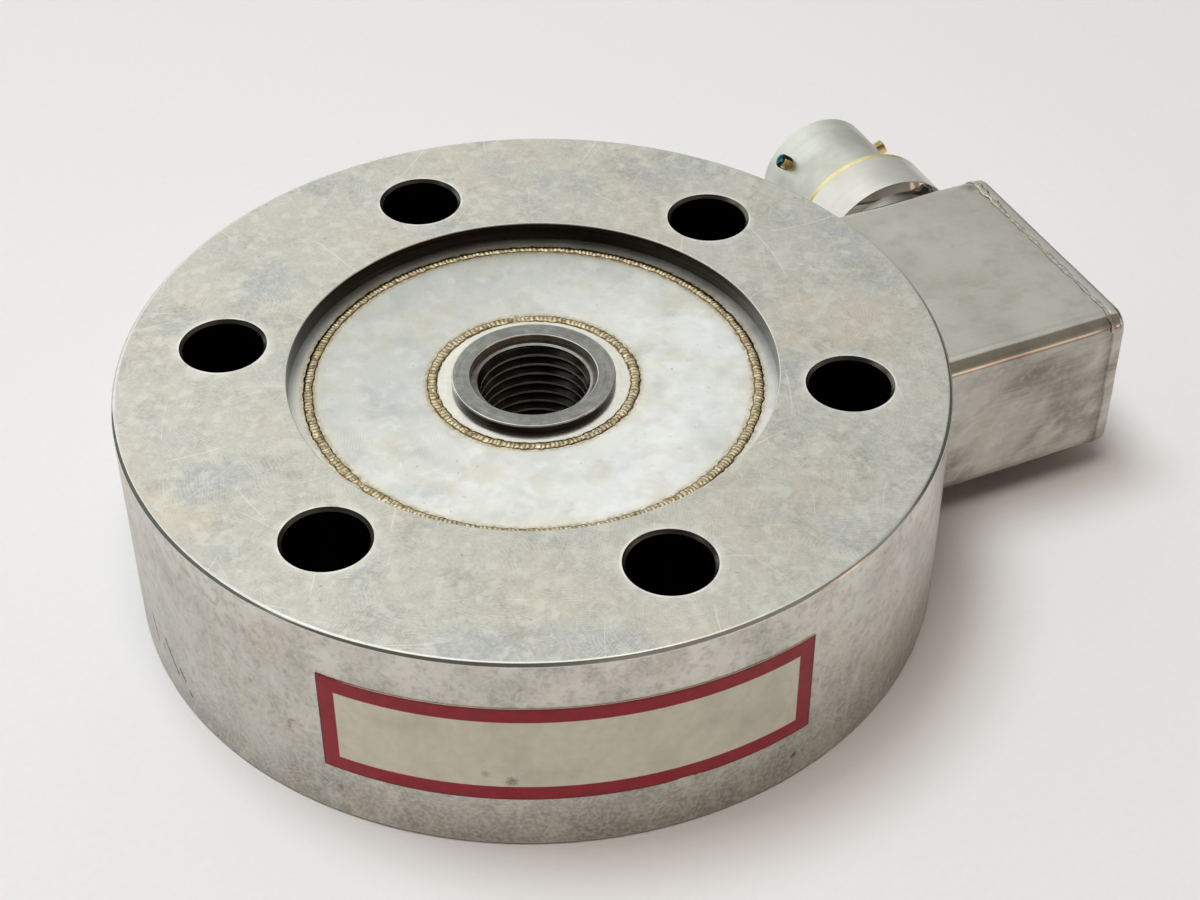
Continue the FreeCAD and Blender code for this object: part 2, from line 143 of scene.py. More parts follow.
class HubSettings(bpy.types.PropertyGroup):
    """Sizes of the hub and its thread."""
    boss_radius: length("Boss radius", "Radius of the hub's raised boss", 8.8)
    boss_drop: length("Boss drop", "Depth of the boss's face below the rim's face", 1.27)
    boss_break: length("Boss break", "Rounding along the boss's edge", 0.2)
    body_radius: length("Body radius", "Radius of the hub between the webs", 11.4)
    mouth_radius: length("Mouth radius", "Radius of the plain mouth over the thread", 6.83)
    mouth_depth: length("Mouth depth", "Depth of the plain mouth", 0.78)
    thread_radius: length("Thread radius", "Major radius of the thread", MOUNTS["hub_thread"]["r_mm"])
    thread_pitch: length("Thread pitch", "Rise of the thread in one turn", 1.27)
    thread_depth: length("Thread depth", "Height of the thread's ridge", 0.6)
    lead_in: length("Lead-in", "Depth of the bevel where the thread begins", 0.6)


class CoverSettings(bpy.types.PropertyGroup):
    """Sizes of the welded covers and their beads."""
    inner_radius: length("Inner radius", "Radius of the cover's inner edge", 10.28)
    outer_radius: length("Outer radius", "Radius of the cover's outer edge", COVER_HIGH.x / MM)
    thickness: length("Thickness", "Thickness of the cover's sheet", 0.6)
    inner_bead: length("Inner bead radius", "Radius of the inner bead's crown", 10.9)
    outer_bead: length("Outer bead radius", "Radius of the outer bead's crown", 24.1)
    bead_half_width: length("Bead half width", "Half the width of a weld bead", 0.56)
    bead_height: length("Bead height", "Height of a weld bead over the sheet", 0.15)
    inner_pitch: length("Inner ripple pitch", "Distance between the inner bead's ripples", 0.5)
    outer_pitch: length("Outer ripple pitch", "Distance between the outer bead's ripples", 0.47)


class BoxSettings(bpy.types.PropertyGroup):
    """Sizes of the connector box."""
    corner_radius: length("Corner radius", "Radius of the tube's long edges", 2.2)
    wall: length("Wall", "Thickness of the tube's wall", 1.65)
    plate_rounding: length("Plate rounding", "Rounding round the end plate's face", 0.8)
    seam_half_width: length("Seam half width", "Half the width of the ground weld at the end plate", 0.55)
    seam_height: length("Seam height", "Height of what grinding left of the end weld", 0.16)
    seam_reach: length("Seam reach", "Depth below the box's top where the end weld's remains stop", 1.9)
    saddle_half_width: length("Saddle half width", "Half the width of the weld between box and rim", 0.85)
    saddle_height: length("Saddle height", "Height of the weld between box and rim", 0.28)
    dents: length("Dents", "Depth of the shallow dents in the tube's faces", 0.05)


class ConnectorSettings(bpy.types.PropertyGroup):
    """Sizes of the connector."""
    neck_radius: length("Neck radius", "Radius of the adapter's neck", 8.3)
    neck_length: length("Neck length", "Length of the adapter's neck", 1.7)
    taper_length: length("Taper length", "Length of the bevel behind the adapter's band", 0.6)
    band_radius: length("Band radius", "Radius of the adapter's band", 9.3)
    adapter_bore: length("Adapter bore", "Radius of the adapter's bore", 7.0)
    spigot_radius: length("Spigot radius", "Radius of the adapter inside the box's wall", 7.7)
    pin_radius: length("Bayonet pin radius", "Radius of a bayonet pin", 0.9)
    pin_setback: length("Bayonet pin setback", "Distance of the pins from the shell's front", 3.05)
    pin_reach: length("Bayonet pin reach", "Distance of the pins' heads from the connector's axis", 8.695)
    pin_foot: length("Bayonet pin foot", "Distance of the pins' feet from the connector's axis", 7.2)
    first_pin: FloatProperty(name="First pin angle", description="Angle of the first bayonet pin round the shell",
                             default=math.radians(-143), subtype="ANGLE")
    contact_radius: length("Contact radius", "Radius of a contact", 0.5)
    contact_circle: length("Contact circle radius", "Radius that the ring of contacts stands on", 3.3)


class LabelSettings(bpy.types.PropertyGroup):
    """Sizes and colours of the label."""
    arc_length: length("Length", "Length of the label round the rim", 50.8)
    border: length("Border", "Width of the coloured border", 1.85)
    thickness: length("Thickness", "Thickness of the film", 0.11)
    middle: FloatProperty(name="Middle", description="Angle of the label's middle from the box",
                          default=math.radians(-108.3), subtype="ANGLE")
    border_colour: colour("Border colour", "Colour of the printed border", "A31E2B")
    field_colour: colour("Field colour", "Colour of the bare field", "EAE4D1")


class StageSettings(bpy.types.PropertyGroup):
    """Floor, light and camera."""
    floor_colour: colour("Floor colour", "Colour of the paper floor", "F1F2F2")
    key_power: FloatProperty(name="Key light", description="Power of the soft overhead light", default=2.45,
                             min=0.0, unit="POWER")
    fill_power: FloatProperty(name="Fill light", description="Power of the soft light on the camera's side",
                              default=1.85, min=0.0, unit="POWER")
    lens: FloatProperty(name="Lens", description="Focal length for a sensor 36 mm wide", default=67.95,
                        unit="CAMERA", min=1.0)


class LoadCellSettings(bpy.types.PropertyGroup):
    """All settings of the load cell."""
    rim: PointerProperty(type=RimSettings)
    hub: PointerProperty(type=HubSettings)
    cover: PointerProperty(type=CoverSettings)
    box: PointerProperty(type=BoxSettings)
    connector: PointerProperty(type=ConnectorSettings)
    label: PointerProperty(type=LabelSettings)
    stage: PointerProperty(type=StageSettings)


# Nodes, meshes and pieces

def add(tree, kind, inputs=None, items=None, **settings):
    """Add a node with its settings; an input takes a value, an output, a node's first live output or several nodes."""
    kind, _, operation = kind.partition(" ")
    if operation:
        settings["operation"] = operation
    node = tree.nodes.new(kind)
    for key, value in settings.items():
        setattr(node, key, value)
    for label, data_type in (items or {}).items():
        node.capture_items.new(data_type, label)
    for key, value in (inputs or {}).items():
        for source in value if isinstance(value, tuple) and isinstance(value[0], bpy.types.Node) else [value]:
            if isinstance(source, bpy.types.Node):
                source = next(output for output in source.outputs if output.enabled)
            if isinstance(source, bpy.types.NodeSocket):
                tree.links.new(source, node.inputs[key])
            else:
                node.inputs[key].default_value = source
    return node


def new_tree(name, sizes):
    """Geometry Nodes tree with a geometry input and named sizes; returns the tree and its input sockets."""
    tree = bpy.data.node_groups.new(name, "GeometryNodeTree")
    tree.interface.new_socket("Geometry", in_out="INPUT", socket_type="NodeSocketGeometry")
    for label, value in sizes.items():
        kind = "NodeSocketInt" if isinstance(value, int) else "NodeSocketFloat"
        tree.interface.new_socket(label, in_out="INPUT", socket_type=kind).default_value = value
    tree.interface.new_socket("Geometry", in_out="OUTPUT", socket_type="NodeSocketGeometry")
    return tree, add(tree, "NodeGroupInput").outputs


def end_tree(tree, geometry, material):
    """Close a tree with real geometry in one material."""
    real = add(tree, "GeometryNodeRealizeInstances", {"Geometry": geometry})
    dressed = add(tree, "GeometryNodeSetMaterial", {"Geometry": real, "Material": material})
    add(tree, "NodeGroupOutput", {"Geometry": dressed})
    return tree


def grown(name, tree, base, sizes=None):
    """Plain mesh that a tree makes from a base mesh, with its named inputs set."""
    holder = bpy.data.objects.new(name, base)
    bpy.context.scene.collection.objects.link(holder)
    modifier = holder.modifiers.new(name, "NODES")
    modifier.node_group = tree
    sockets = {item.name: item.identifier for item in tree.interface.items_tree
               if item.item_type == "SOCKET" and item.in_out == "INPUT"}
    for label, value in (sizes or {}).items():
        modifier[sockets[label]] = value
    depsgraph = bpy.context.evaluated_depsgraph_get()
    mesh = bpy.data.meshes.new_from_object(holder.evaluated_get(depsgraph), depsgraph=depsgraph)
    if not mesh.polygons:
        raise RuntimeError(f"the tree of {name} gave no faces")
    bpy.data.objects.remove(holder)
    mesh.name = name
    return mesh


def slope(face):
    """2 for a flat face, 0 for an upright one and 1 for any other."""
    upright = abs(face.normal.z)
    return 2 if upright > 0.999 else 0 if upright < 0.001 else 1


def finished(mesh, crease=30.0, split_slopes=False, place=None):
    """Merge a mesh, turn its faces outwards, and shade it smooth apart from its creases."""
    work = bmesh.new()
    work.from_mesh(mesh)
    bmesh.ops.remove_doubles(work, verts=work.verts, dist=MERGE)
    bmesh.ops.dissolve_degenerate(work, edges=work.edges, dist=MERGE)
    bmesh.ops.recalc_face_normals(work, faces=work.faces)
    for face in work.faces:
        face.smooth = True
    for edge in work.edges:
        if len(edge.link_faces) == 2:
            first, second = edge.link_faces
            split = split_slopes and slope(first) != slope(second)
            edge.smooth = not (split or edge.calc_face_angle(0.0) > math.radians(crease))
    if place:
        bmesh.ops.transform(work, matrix=place, verts=work.verts)
    work.to_mesh(mesh)
    work.free()
    return mesh


def new_piece(name, mesh, slot, *replaced, materials=()):
    """Put a finished mesh in the scene, on the frame's only body."""
    piece = bpy.data.objects.new(name, mesh)
    bpy.context.scene.collection.objects.link(piece)
    for material in materials:
        mesh.materials.append(material)
    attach(piece, "root")
    if replaced:
        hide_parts(*replaced)
    return piece


def outlines(name, *loops, closed=True):
    """Mesh of outlines in the XZ plane, each a list of radius and height."""
    mesh = bpy.data.meshes.new(name)
    points, edges = [], []
    for loop in loops:
        start = len(points)
        points += [(radius, 0.0, height) for radius, height in loop]
        edges += [(k, k + 1) for k in range(start, len(points) - 1)]
        if closed:
            edges.append((len(points) - 1, start))
    mesh.from_pydata(points, edges, [])
    return mesh


def eased(corners, steps=6, closed=True):
    """Outline through corners of radius, height and rounding, with each rounding drawn as an arc."""
    outline = []
    count = len(corners)
    for k, (radius, height, rounding) in enumerate(corners):
        here = Vector((radius, height))
        if not rounding or not closed and k in (0, count - 1):
            outline.append(here)
            continue
        start = here + (Vector(corners[k - 1][:2]) - here).normalized() * rounding
        end = here + (Vector(corners[(k + 1) % count][:2]) - here).normalized() * rounding
        for j in range(steps + 1):
            t = j / steps
            outline.append(start * (1 - t) ** 2 + here * (2 * t * (1 - t)) + end * t ** 2)
    return outline


def mirrored(corners):
    """Corners of an upper half, joined to the same corners below the middle height."""
    return corners + [(radius, 2 * MIDDLE_Z - height, rounding) for radius, height, rounding in reversed(corners)]


def rounded_rectangle(half_width, half_height, corner, steps=10):
    """Points and outward directions round a rectangle in the YZ plane, about the box's middle height."""
    loop = []
    for quarter, (side, top) in enumerate(((1, 1), (-1, 1), (-1, -1), (1, -1))):
        centre = Vector((0, side * (half_width - corner), MIDDLE_Z + top * (half_height - corner)))
        for k in range(steps + 1):
            angle = math.radians(90 * (quarter + k / steps))
            outward = Vector((0, math.cos(angle), math.sin(angle)))
            loop.append((centre + outward * corner, outward))
    return loop


def loft(name, rings, cap=False):
    """Closed skin through rings of points; the last ring joins the first, or both are capped."""
    mesh = bpy.data.meshes.new(name)
    count = len(rings[0])
    points = [point for ring in rings for point in ring]
    faces = []
    for k in range(len(rings) - 1 if cap else len(rings)):
        here, there = k * count, (k + 1) % len(rings) * count
        faces += [(here + j, here + (j + 1) % count, there + (j + 1) % count, there + j) for j in range(count)]
    if cap:
        faces += [tuple(range(count))[::-1], tuple(range(len(points) - count, len(points)))]
    mesh.from_pydata(points, [], faces)
    return mesh


# Geometry Nodes trees

def turn(tree, outline, facets):
    """Nodes that turn outlines of radius and height about the Z axis."""
    position = add(tree, POSITION)
    curve = add(tree, "GeometryNodeMeshToCurve", {"Mesh": outline})
    section = add(tree, CAPTURE, {"Geometry": curve, "Outline": position}, {"Outline": "VECTOR"})
    circle = add(tree, "GeometryNodeCurvePrimitiveCircle", {"Resolution": facets, "Radius": 1.0})
    path = add(tree, CAPTURE, {"Geometry": circle, "Turn": position}, {"Turn": "VECTOR"})
    swept = add(tree, "GeometryNodeCurveToMesh", {"Curve": path, "Profile Curve": section})
    parts = add(tree, SEPARATE, {0: section.outputs["Outline"]})
    spread = add(tree, SCALE, {0: path.outputs["Turn"], "Scale": parts.outputs["X"]})
    lift = add(tree, COMBINE, {"Z": parts.outputs["Z"]})
    place = add(tree, VECTOR, {0: spread, 1: lift})
    placed = add(tree, "GeometryNodeSetPosition", {"Geometry": swept, "Position": place})
    return add(tree, "GeometryNodeMergeByDistance", {"Geometry": placed, "Distance": MERGE})


def turned_mesh(name, material, facets, *loops):
    """Plain mesh of a body that a tree turns from outlines."""
    tree, given = new_tree("turned_body", {"Facets": 96})
    end_tree(tree, turn(tree, given["Geometry"], given["Facets"]), material)
    return grown(name, tree, outlines(name, *loops), {"Facets": facets})


def polar_points(tree, count, radius, first):
    """Points round the Z axis and the rotation that turns +X to face each of them."""
    circle = add(tree, "GeometryNodeMeshCircle", {"Vertices": count, "Radius": radius})
    angle = add(tree, COMBINE, {"Z": first})
    points = add(tree, TRANSFORM, {"Geometry": circle, "Rotation": angle})
    place = add(tree, SEPARATE, {0: add(tree, POSITION)})
    facing = add(tree, MATH, {0: place.outputs["Y"], 1: place.outputs["X"]}, operation="ARCTAN2")
    return points, add(tree, COMBINE, {"Z": facing})


def drilled_rim_tree(material, rim, hub):
    """Tree that turns the rim and hub, joins them by the webs, and drills the holes and the wire passage."""
    margin, overshoot, first_web = 0.05 * MM, 2 * MM, math.radians(45)
    # The wire passage runs from inside the cavity to outside the rim.
    passage_length, passage_x = 24 * MM, 34 * MM
    tree, given = new_tree("drilled_rim", {
        "Facets": rim.facets, "Rim height": rim.height, "Bolt holes": rim.bolt_count,
        "Bolt circle radius": rim.bolt_circle, "First bolt angle": rim.first_bolt, "Hole radius": rim.hole_radius,
        "Hole break": rim.hole_break, "Webs": rim.web_count, "Web thickness": rim.web_thickness,
        "Web height": rim.web_height, "Web inner radius": hub.body_radius - margin,
        "Web outer radius": rim.cavity_radius + margin, "Passage radius": rim.passage_radius})
    turned = turn(tree, given["Geometry"], given["Facets"])
    middle = add(tree, MULTIPLY, {0: given["Rim height"], 1: 0.5})
    middle_place = add(tree, COMBINE, {"Z": middle})
    web_span = add(tree, SUBTRACT, {0: given["Web outer radius"], 1: given["Web inner radius"]})
    web_sum = add(tree, MATH, {0: given["Web outer radius"], 1: given["Web inner radius"]})
    web_radius = add(tree, MULTIPLY, {0: web_sum, 1: 0.5})
    web_size = add(tree, COMBINE,
                   {"X": web_span, "Y": given["Web thickness"], "Z": given["Web height"]})
    web = add(tree, "GeometryNodeMeshCube", {"Size": web_size})
    web_raised = add(tree, TRANSFORM, {"Geometry": web, "Translation": middle_place})
    web_points, web_facing = polar_points(tree, given["Webs"], web_radius, first_web)
    webs = add(tree, INSTANCES,
               {"Points": web_points, "Instance": web_raised, "Rotation": web_facing})
    body = add(tree, "GeometryNodeMeshBoolean", {"Mesh 2": (turned, webs)}, operation="UNION", solver="EXACT")
    hole_points, hole_facing = polar_points(tree, given["Bolt holes"], given["Bolt circle radius"],
                                            given["First bolt angle"])
    tall = add(tree, MATH, {0: given["Rim height"], 1: overshoot})
    drill = add(tree, "GeometryNodeMeshCylinder",
                {"Vertices": 72, "Radius": given["Hole radius"], "Depth": tall})
    drill_raised = add(tree, TRANSFORM, {"Geometry": drill, "Translation": middle_place})
    # The bevel's cutter starts inside the hole and ends above the face, so no two faces lie in one plane.
    bevel_foot = add(tree, SUBTRACT, {0: given["Hole radius"], 1: margin})
    bevel_rise = add(tree, MATH, {0: given["Hole break"], 1: 2 * margin})
    bevel_brim = add(tree, MATH, {0: bevel_foot, 1: bevel_rise})
    bevel = add(tree, "GeometryNodeMeshCone",
                {"Vertices": 72, "Radius Top": bevel_brim, "Radius Bottom": bevel_foot, "Depth": bevel_rise})
    bevel_start = add(tree, SUBTRACT, {0: given["Rim height"], 1: given["Hole break"]})
    bevel_low = add(tree, SUBTRACT, {0: bevel_start, 1: margin})
    bevel_place = add(tree, COMBINE, {"Z": bevel_low})
    bevel_above = add(tree, TRANSFORM, {"Geometry": bevel, "Translation": bevel_place})
    height_place = add(tree, COMBINE, {"Z": given["Rim height"]})
    bevel_below = add(tree, TRANSFORM,
                      {"Geometry": bevel_above, "Translation": height_place, "Rotation": (math.pi, 0, 0)})
    cutters = [add(tree, INSTANCES,
                   {"Points": hole_points, "Instance": cutter, "Rotation": hole_facing})
               for cutter in (drill_raised, bevel_above, bevel_below)]
    passage = add(tree, "GeometryNodeMeshCylinder",
                  {"Vertices": 48, "Radius": given["Passage radius"], "Depth": passage_length})
    passage_middle = add(tree, COMBINE, {"X": passage_x, "Z": middle})
    passage_turned = add(tree, TRANSFORM,
                         {"Geometry": passage, "Translation": passage_middle, "Rotation": (0, math.pi / 2, 0)})
    drilled = add(tree, "GeometryNodeMeshBoolean", {"Mesh 1": body, "Mesh 2": (*cutters, passage_turned)},
                  operation="DIFFERENCE", solver="EXACT")
    return end_tree(tree, drilled, material)


def weld_bead_tree(material):
    """Tree that lays a rippled bead along a path whose points say which way is up and across."""
    tree, given = new_tree("weld_bead", {
        "Half width": 0.5 * MM, "Height": 0.2 * MM, "Ripple pitch": 0.5 * MM, "Ripple depth": 0.05 * MM,
        "Slices per ripple": 6, "Raggedness": 0.2, "Rag size": 1.5 * MM, "Stray": 1.5, "Seed": 0.0})
    path = add(tree, "GeometryNodeMeshToCurve", {"Mesh": given["Geometry"]})
    slice_length = add(tree, MATH, {0: given["Ripple pitch"], 1: given["Slices per ripple"]}, operation="DIVIDE")
    sliced = add(tree, "GeometryNodeResampleCurve", {"Curve": path, "Length": slice_length}, mode="LENGTH")
    named = {name: add(tree, "GeometryNodeInputNamedAttribute", {"Name": name}, data_type=kind).outputs["Attribute"]
             for name, kind in (("up", "FLOAT_VECTOR"), ("across", "FLOAT_VECTOR"), ("gain", "FLOAT"))}
    position = add(tree, POSITION)
    along = add(tree, "GeometryNodeSplineParameter").outputs["Length"]
    kept = add(tree, CAPTURE,
               {"Geometry": sliced, "Path": position, "Up": named["up"], "Across": named["across"],
                "Gain": named["gain"], "Along": along},
               {"Path": "VECTOR", "Up": "VECTOR", "Across": "VECTOR", "Gain": "FLOAT", "Along": "FLOAT"}).outputs
    ring = add(tree, "GeometryNodeCurvePrimitiveCircle", {"Resolution": 12, "Radius": 1.0})
    section = add(tree, CAPTURE, {"Geometry": ring, "Section": position}, {"Section": "VECTOR"})
    swept = add(tree, "GeometryNodeCurveToMesh",
                {"Curve": kept["Geometry"], "Profile Curve": section, "Fill Caps": True})
    parts = add(tree, SEPARATE, {0: section.outputs["Section"]}).outputs
    side, rise = parts["X"], parts["Y"]
    # Each ripple is a crescent: its phase lags towards the bead's edges, and strays a little along the bead.
    side_squared = add(tree, MULTIPLY, {0: side, 1: side})
    count = add(tree, MATH, {0: kept["Along"], 1: given["Ripple pitch"]}, operation="DIVIDE")
    stray = add(tree, NOISE, {"Vector": kept["Path"], "W": given["Seed"], "Scale": 0.7 / MM, "Detail": 1.0},
                noise_dimensions="4D")
    strayed = add(tree, MULTIPLY_ADD, {0: stray, 1: given["Stray"], 2: count})
    phase = add(tree, MULTIPLY_ADD, {0: side_squared, 1: 0.4, 2: strayed})
    saw = add(tree, MATH, {0: phase}, operation="FRACT")
    rest = add(tree, SUBTRACT, {0: 1.0, 1: saw})
    half_hump = add(tree, MULTIPLY, {0: saw, 1: rest})
    hump = add(tree, MULTIPLY, {0: half_hump, 1: 4.0})
    fineness = add(tree, MATH, {0: 1.0, 1: given["Rag size"]}, operation="DIVIDE")
    rag = add(tree, NOISE, {"Vector": kept["Path"], "W": given["Seed"], "Scale": fineness, "Detail": 2.0},
              noise_dimensions="4D")
    rag_parts = add(tree, SEPARATE, {0: rag.outputs["Color"]}).outputs
    sway = [add(tree, RANGE, {"Value": rag_parts[axis], "From Min": 0.3, "From Max": 0.7,
                              "To Min": -1.0, "To Max": 1.0}) for axis in "XYZ"]
    swell = [add(tree, MULTIPLY_ADD, {0: sway[k], 1: given["Raggedness"], 2: 1.0})
             for k in (0, 1)]
    fullness = add(tree, RANGE, {"Value": kept["Gain"], "To Min": 0.35, "To Max": 1.0})
    ragged_width = add(tree, MULTIPLY, {0: given["Half width"], 1: swell[0]})
    full_width = add(tree, MULTIPLY, {0: ragged_width, 1: fullness})
    shift = add(tree, MULTIPLY, {0: sway[2], 1: given["Raggedness"]})
    spread = add(tree, MULTIPLY_ADD, {0: shift, 1: 0.35, 2: side})
    out = add(tree, MULTIPLY, {0: full_width, 1: spread})
    level = add(tree, SUBTRACT, {0: hump, 1: 0.5})
    strength = add(tree, RANGE, {"Value": rag_parts["Z"], "From Min": 0.35, "From Max": 0.65,
                                 "To Min": 0.4, "To Max": 1.3})
    depth = add(tree, MULTIPLY, {0: strength, 1: given["Ripple depth"]})
    ripple = add(tree, MULTIPLY, {0: level, 1: depth})
    crown = add(tree, MULTIPLY_ADD, {0: given["Height"], 1: swell[1], 2: ripple})
    gained = add(tree, MULTIPLY, {0: crown, 1: kept["Gain"]})
    rise_size = add(tree, ABSOLUTE, {0: rise})
    bulge = add(tree, MULTIPLY, {0: rise, 1: rise_size})
    lift = add(tree, MULTIPLY, {0: gained, 1: bulge})
    sideways = add(tree, SCALE, {0: kept["Across"], "Scale": out})
    upwards = add(tree, SCALE, {0: kept["Up"], "Scale": lift})
    offset = add(tree, VECTOR, {0: sideways, 1: upwards})
    place = add(tree, VECTOR, {0: offset, 1: kept["Path"]})
    laid = add(tree, "GeometryNodeSetPosition", {"Geometry": swept, "Position": place})
    edge = add(tree, ABSOLUTE, {0: side})
    rippled = add(tree, "GeometryNodeStoreNamedAttribute", {"Geometry": laid, "Name": "ripple", "Value": hump})
    marked = add(tree, "GeometryNodeStoreNamedAttribute", {"Geometry": rippled, "Name": "edge", "Value": edge})
    return end_tree(tree, marked, material)


def thread_tree(material):
    """Tree that winds a ridge down a bore, bevelled at both mouths."""
    tree, given = new_tree("hub_thread", {
        "Radius": 6.35 * MM, "Ridge": 0.6 * MM, "Pitch": 1.27 * MM, "Turns": 18.0, "Low": 2.0 * MM,
        "High": 23.3 * MM})
    rise = add(tree, MULTIPLY, {0: given["Pitch"], 1: given["Turns"]})
    spiral = add(tree, "GeometryNodeCurveSpiral",
                 {"Resolution": 72, "Rotations": given["Turns"], "Start Radius": given["Radius"],
                  "End Radius": given["Radius"], "Height": rise})
    position = add(tree, POSITION)
    path = add(tree, CAPTURE, {"Geometry": spiral, "Path": position}, {"Path": "VECTOR"})
    quad = add(tree, "GeometryNodeCurvePrimitiveQuadrilateral",
               {"Point 1": (0.0, 0.47, 0.0), "Point 2": (0.0, -0.47, 0.0), "Point 3": (1.0, -0.1, 0.0),
                "Point 4": (1.0, 0.1, 0.0)}, mode="POINTS")
    section = add(tree, CAPTURE, {"Geometry": quad, "Section": position}, {"Section": "VECTOR"})
    swept = add(tree, "GeometryNodeCurveToMesh", {"Curve": path, "Profile Curve": section, "Fill Caps": True})
    cut = add(tree, SEPARATE, {0: section.outputs["Section"]}).outputs
    line = add(tree, SEPARATE, {0: path.outputs["Path"]}).outputs
    start = add(tree, SUBTRACT, {0: given["Low"], 1: given["Pitch"]})
    middle = add(tree, MATH, {0: start, 1: line["Z"]})
    height = add(tree, MULTIPLY_ADD, {0: cut["Y"], 1: given["Pitch"], 2: middle})
    level = add(tree, "ShaderNodeClamp", {"Value": height, "Min": given["Low"], "Max": given["High"]})
    root = add(tree, MATH, {0: given["Radius"], 1: HAIR})
    ridge = add(tree, MULTIPLY, {0: cut["X"], 1: given["Ridge"]})
    crest = add(tree, SUBTRACT, {0: root, 1: ridge})
    above = add(tree, SUBTRACT, {0: given["High"], 1: level})
    below = add(tree, SUBTRACT, {0: level, 1: given["Low"]})
    nearest = add(tree, MATH, {0: above, 1: below}, operation="MINIMUM")
    bevel = add(tree, SUBTRACT, {0: root, 1: nearest})
    radius = add(tree, MATH, {0: crest, 1: bevel}, operation="MAXIMUM")
    flat = add(tree, STRETCH, {0: path.outputs["Path"], 1: (1.0, 1.0, 0.0)})
    outward = add(tree, VECTOR, {0: flat}, operation="NORMALIZE")
    spread = add(tree, SCALE, {0: outward, "Scale": radius})
    lift = add(tree, COMBINE, {"Z": level})
    place = add(tree, VECTOR, {0: spread, 1: lift})
    wound = add(tree, "GeometryNodeSetPosition", {"Geometry": swept, "Position": place})
    return end_tree(tree, wound, material)


# Materials

def new_material(name):
    """Material with its tree, its shader and the surface's own place in millimetres."""
    material = bpy.data.materials.new(name)
    material.use_nodes = True
    tree = material.node_tree
    place = add(tree, "ShaderNodeTexCoord").outputs["Object"]
    point = add(tree, SCALE, {0: place, "Scale": 1 / MM})
    return material, tree, tree.nodes["Principled BSDF"], point


def finish(tree, shader, tone, rough, relief=None, depth=0.0, metallic=1.0):
    """Give a surface its colour, roughness and share of metal, and marks whose depth is in millimetres."""
    for label, value in (("Base Color", tone), ("Roughness", rough), ("Metallic", metallic)):
        if isinstance(value, float):
            shader.inputs[label].default_value = value
        else:
            tree.links.new(next(output for output in value.outputs if output.enabled), shader.inputs[label])
    if relief:
        bump = add(tree, "ShaderNodeBump", {"Height": relief, "Strength": 1.0, "Distance": depth * MM})
        tree.links.new(bump.outputs[0], shader.inputs["Normal"])


def patches(tree, place, size, low, high, detail=2.0, seed=0.0):
    """Soft patches about a given size in millimetres, as a mask."""
    cloud = add(tree, NOISE, {"Vector": place, "W": seed, "Scale": 1 / size, "Detail": detail, "Roughness": 0.5},
                noise_dimensions="4D")
    return add(tree, RANGE, {"Value": cloud, "From Min": low, "From Max": high})


def tinted(tree, base, code, mask, share):
    """Base colour with a share of another laid over it where a mask says."""
    part = add(tree, MULTIPLY, {0: mask, 1: share})
    return add(tree, MIX, {0: part, 6: base, 7: linear(code)}, data_type="RGBA")


def clouded(tree, tone, place, *layers):
    """Colour under layers of patches, each with its code, size in millimetres, range, detail, seed and share."""
    for code, size, low, high, detail, seed, share in layers:
        tone = tinted(tree, tone, code, patches(tree, place, size, low, high, detail, seed), share)
    return tone


def scratches(tree, place, gap, width, reach, seed):
    """Bowed scratches on a flat place, one to each cell of a gap's size in millimetres, as a mask."""
    moved = add(tree, VECTOR, {0: place, 1: (seed, 2 * seed, 0.0)})
    cell = add(tree, "ShaderNodeTexVoronoi", {"Vector": moved, "Scale": 1 / gap}, voronoi_dimensions="2D").outputs
    chance = add(tree, SEPARATE, {0: cell["Color"]}).outputs
    local = add(tree, VECTOR, {0: moved, 1: cell["Position"]}, operation="SUBTRACT")
    spin = add(tree, MULTIPLY, {0: chance["X"], 1: math.pi})
    turned = add(tree, ROTATE, {"Vector": local, "Angle": spin}, rotation_type="Z_AXIS")
    parts = add(tree, SEPARATE, {0: turned}).outputs
    along = add(tree, ABSOLUTE, {0: parts["X"]})
    squared = add(tree, MULTIPLY, {0: along, 1: along})
    lean = add(tree, SUBTRACT, {0: chance["Y"], 1: 0.5})
    bow = add(tree, MULTIPLY, {0: lean, 1: 0.5 / gap})
    across = add(tree, MULTIPLY_ADD, {0: squared, 1: bow, 2: parts["Y"]})
    off = add(tree, ABSOLUTE, {0: across})
    line = add(tree, RANGE, {"Value": off, "From Min": width, "From Max": width * 0.3})
    stretch = add(tree, MULTIPLY, {0: chance["Z"], 1: reach})
    left = add(tree, SUBTRACT, {0: stretch, 1: along})
    ended = add(tree, RANGE, {"Value": left, "From Max": reach * 0.3})
    return add(tree, MULTIPLY, {0: line, 1: ended})


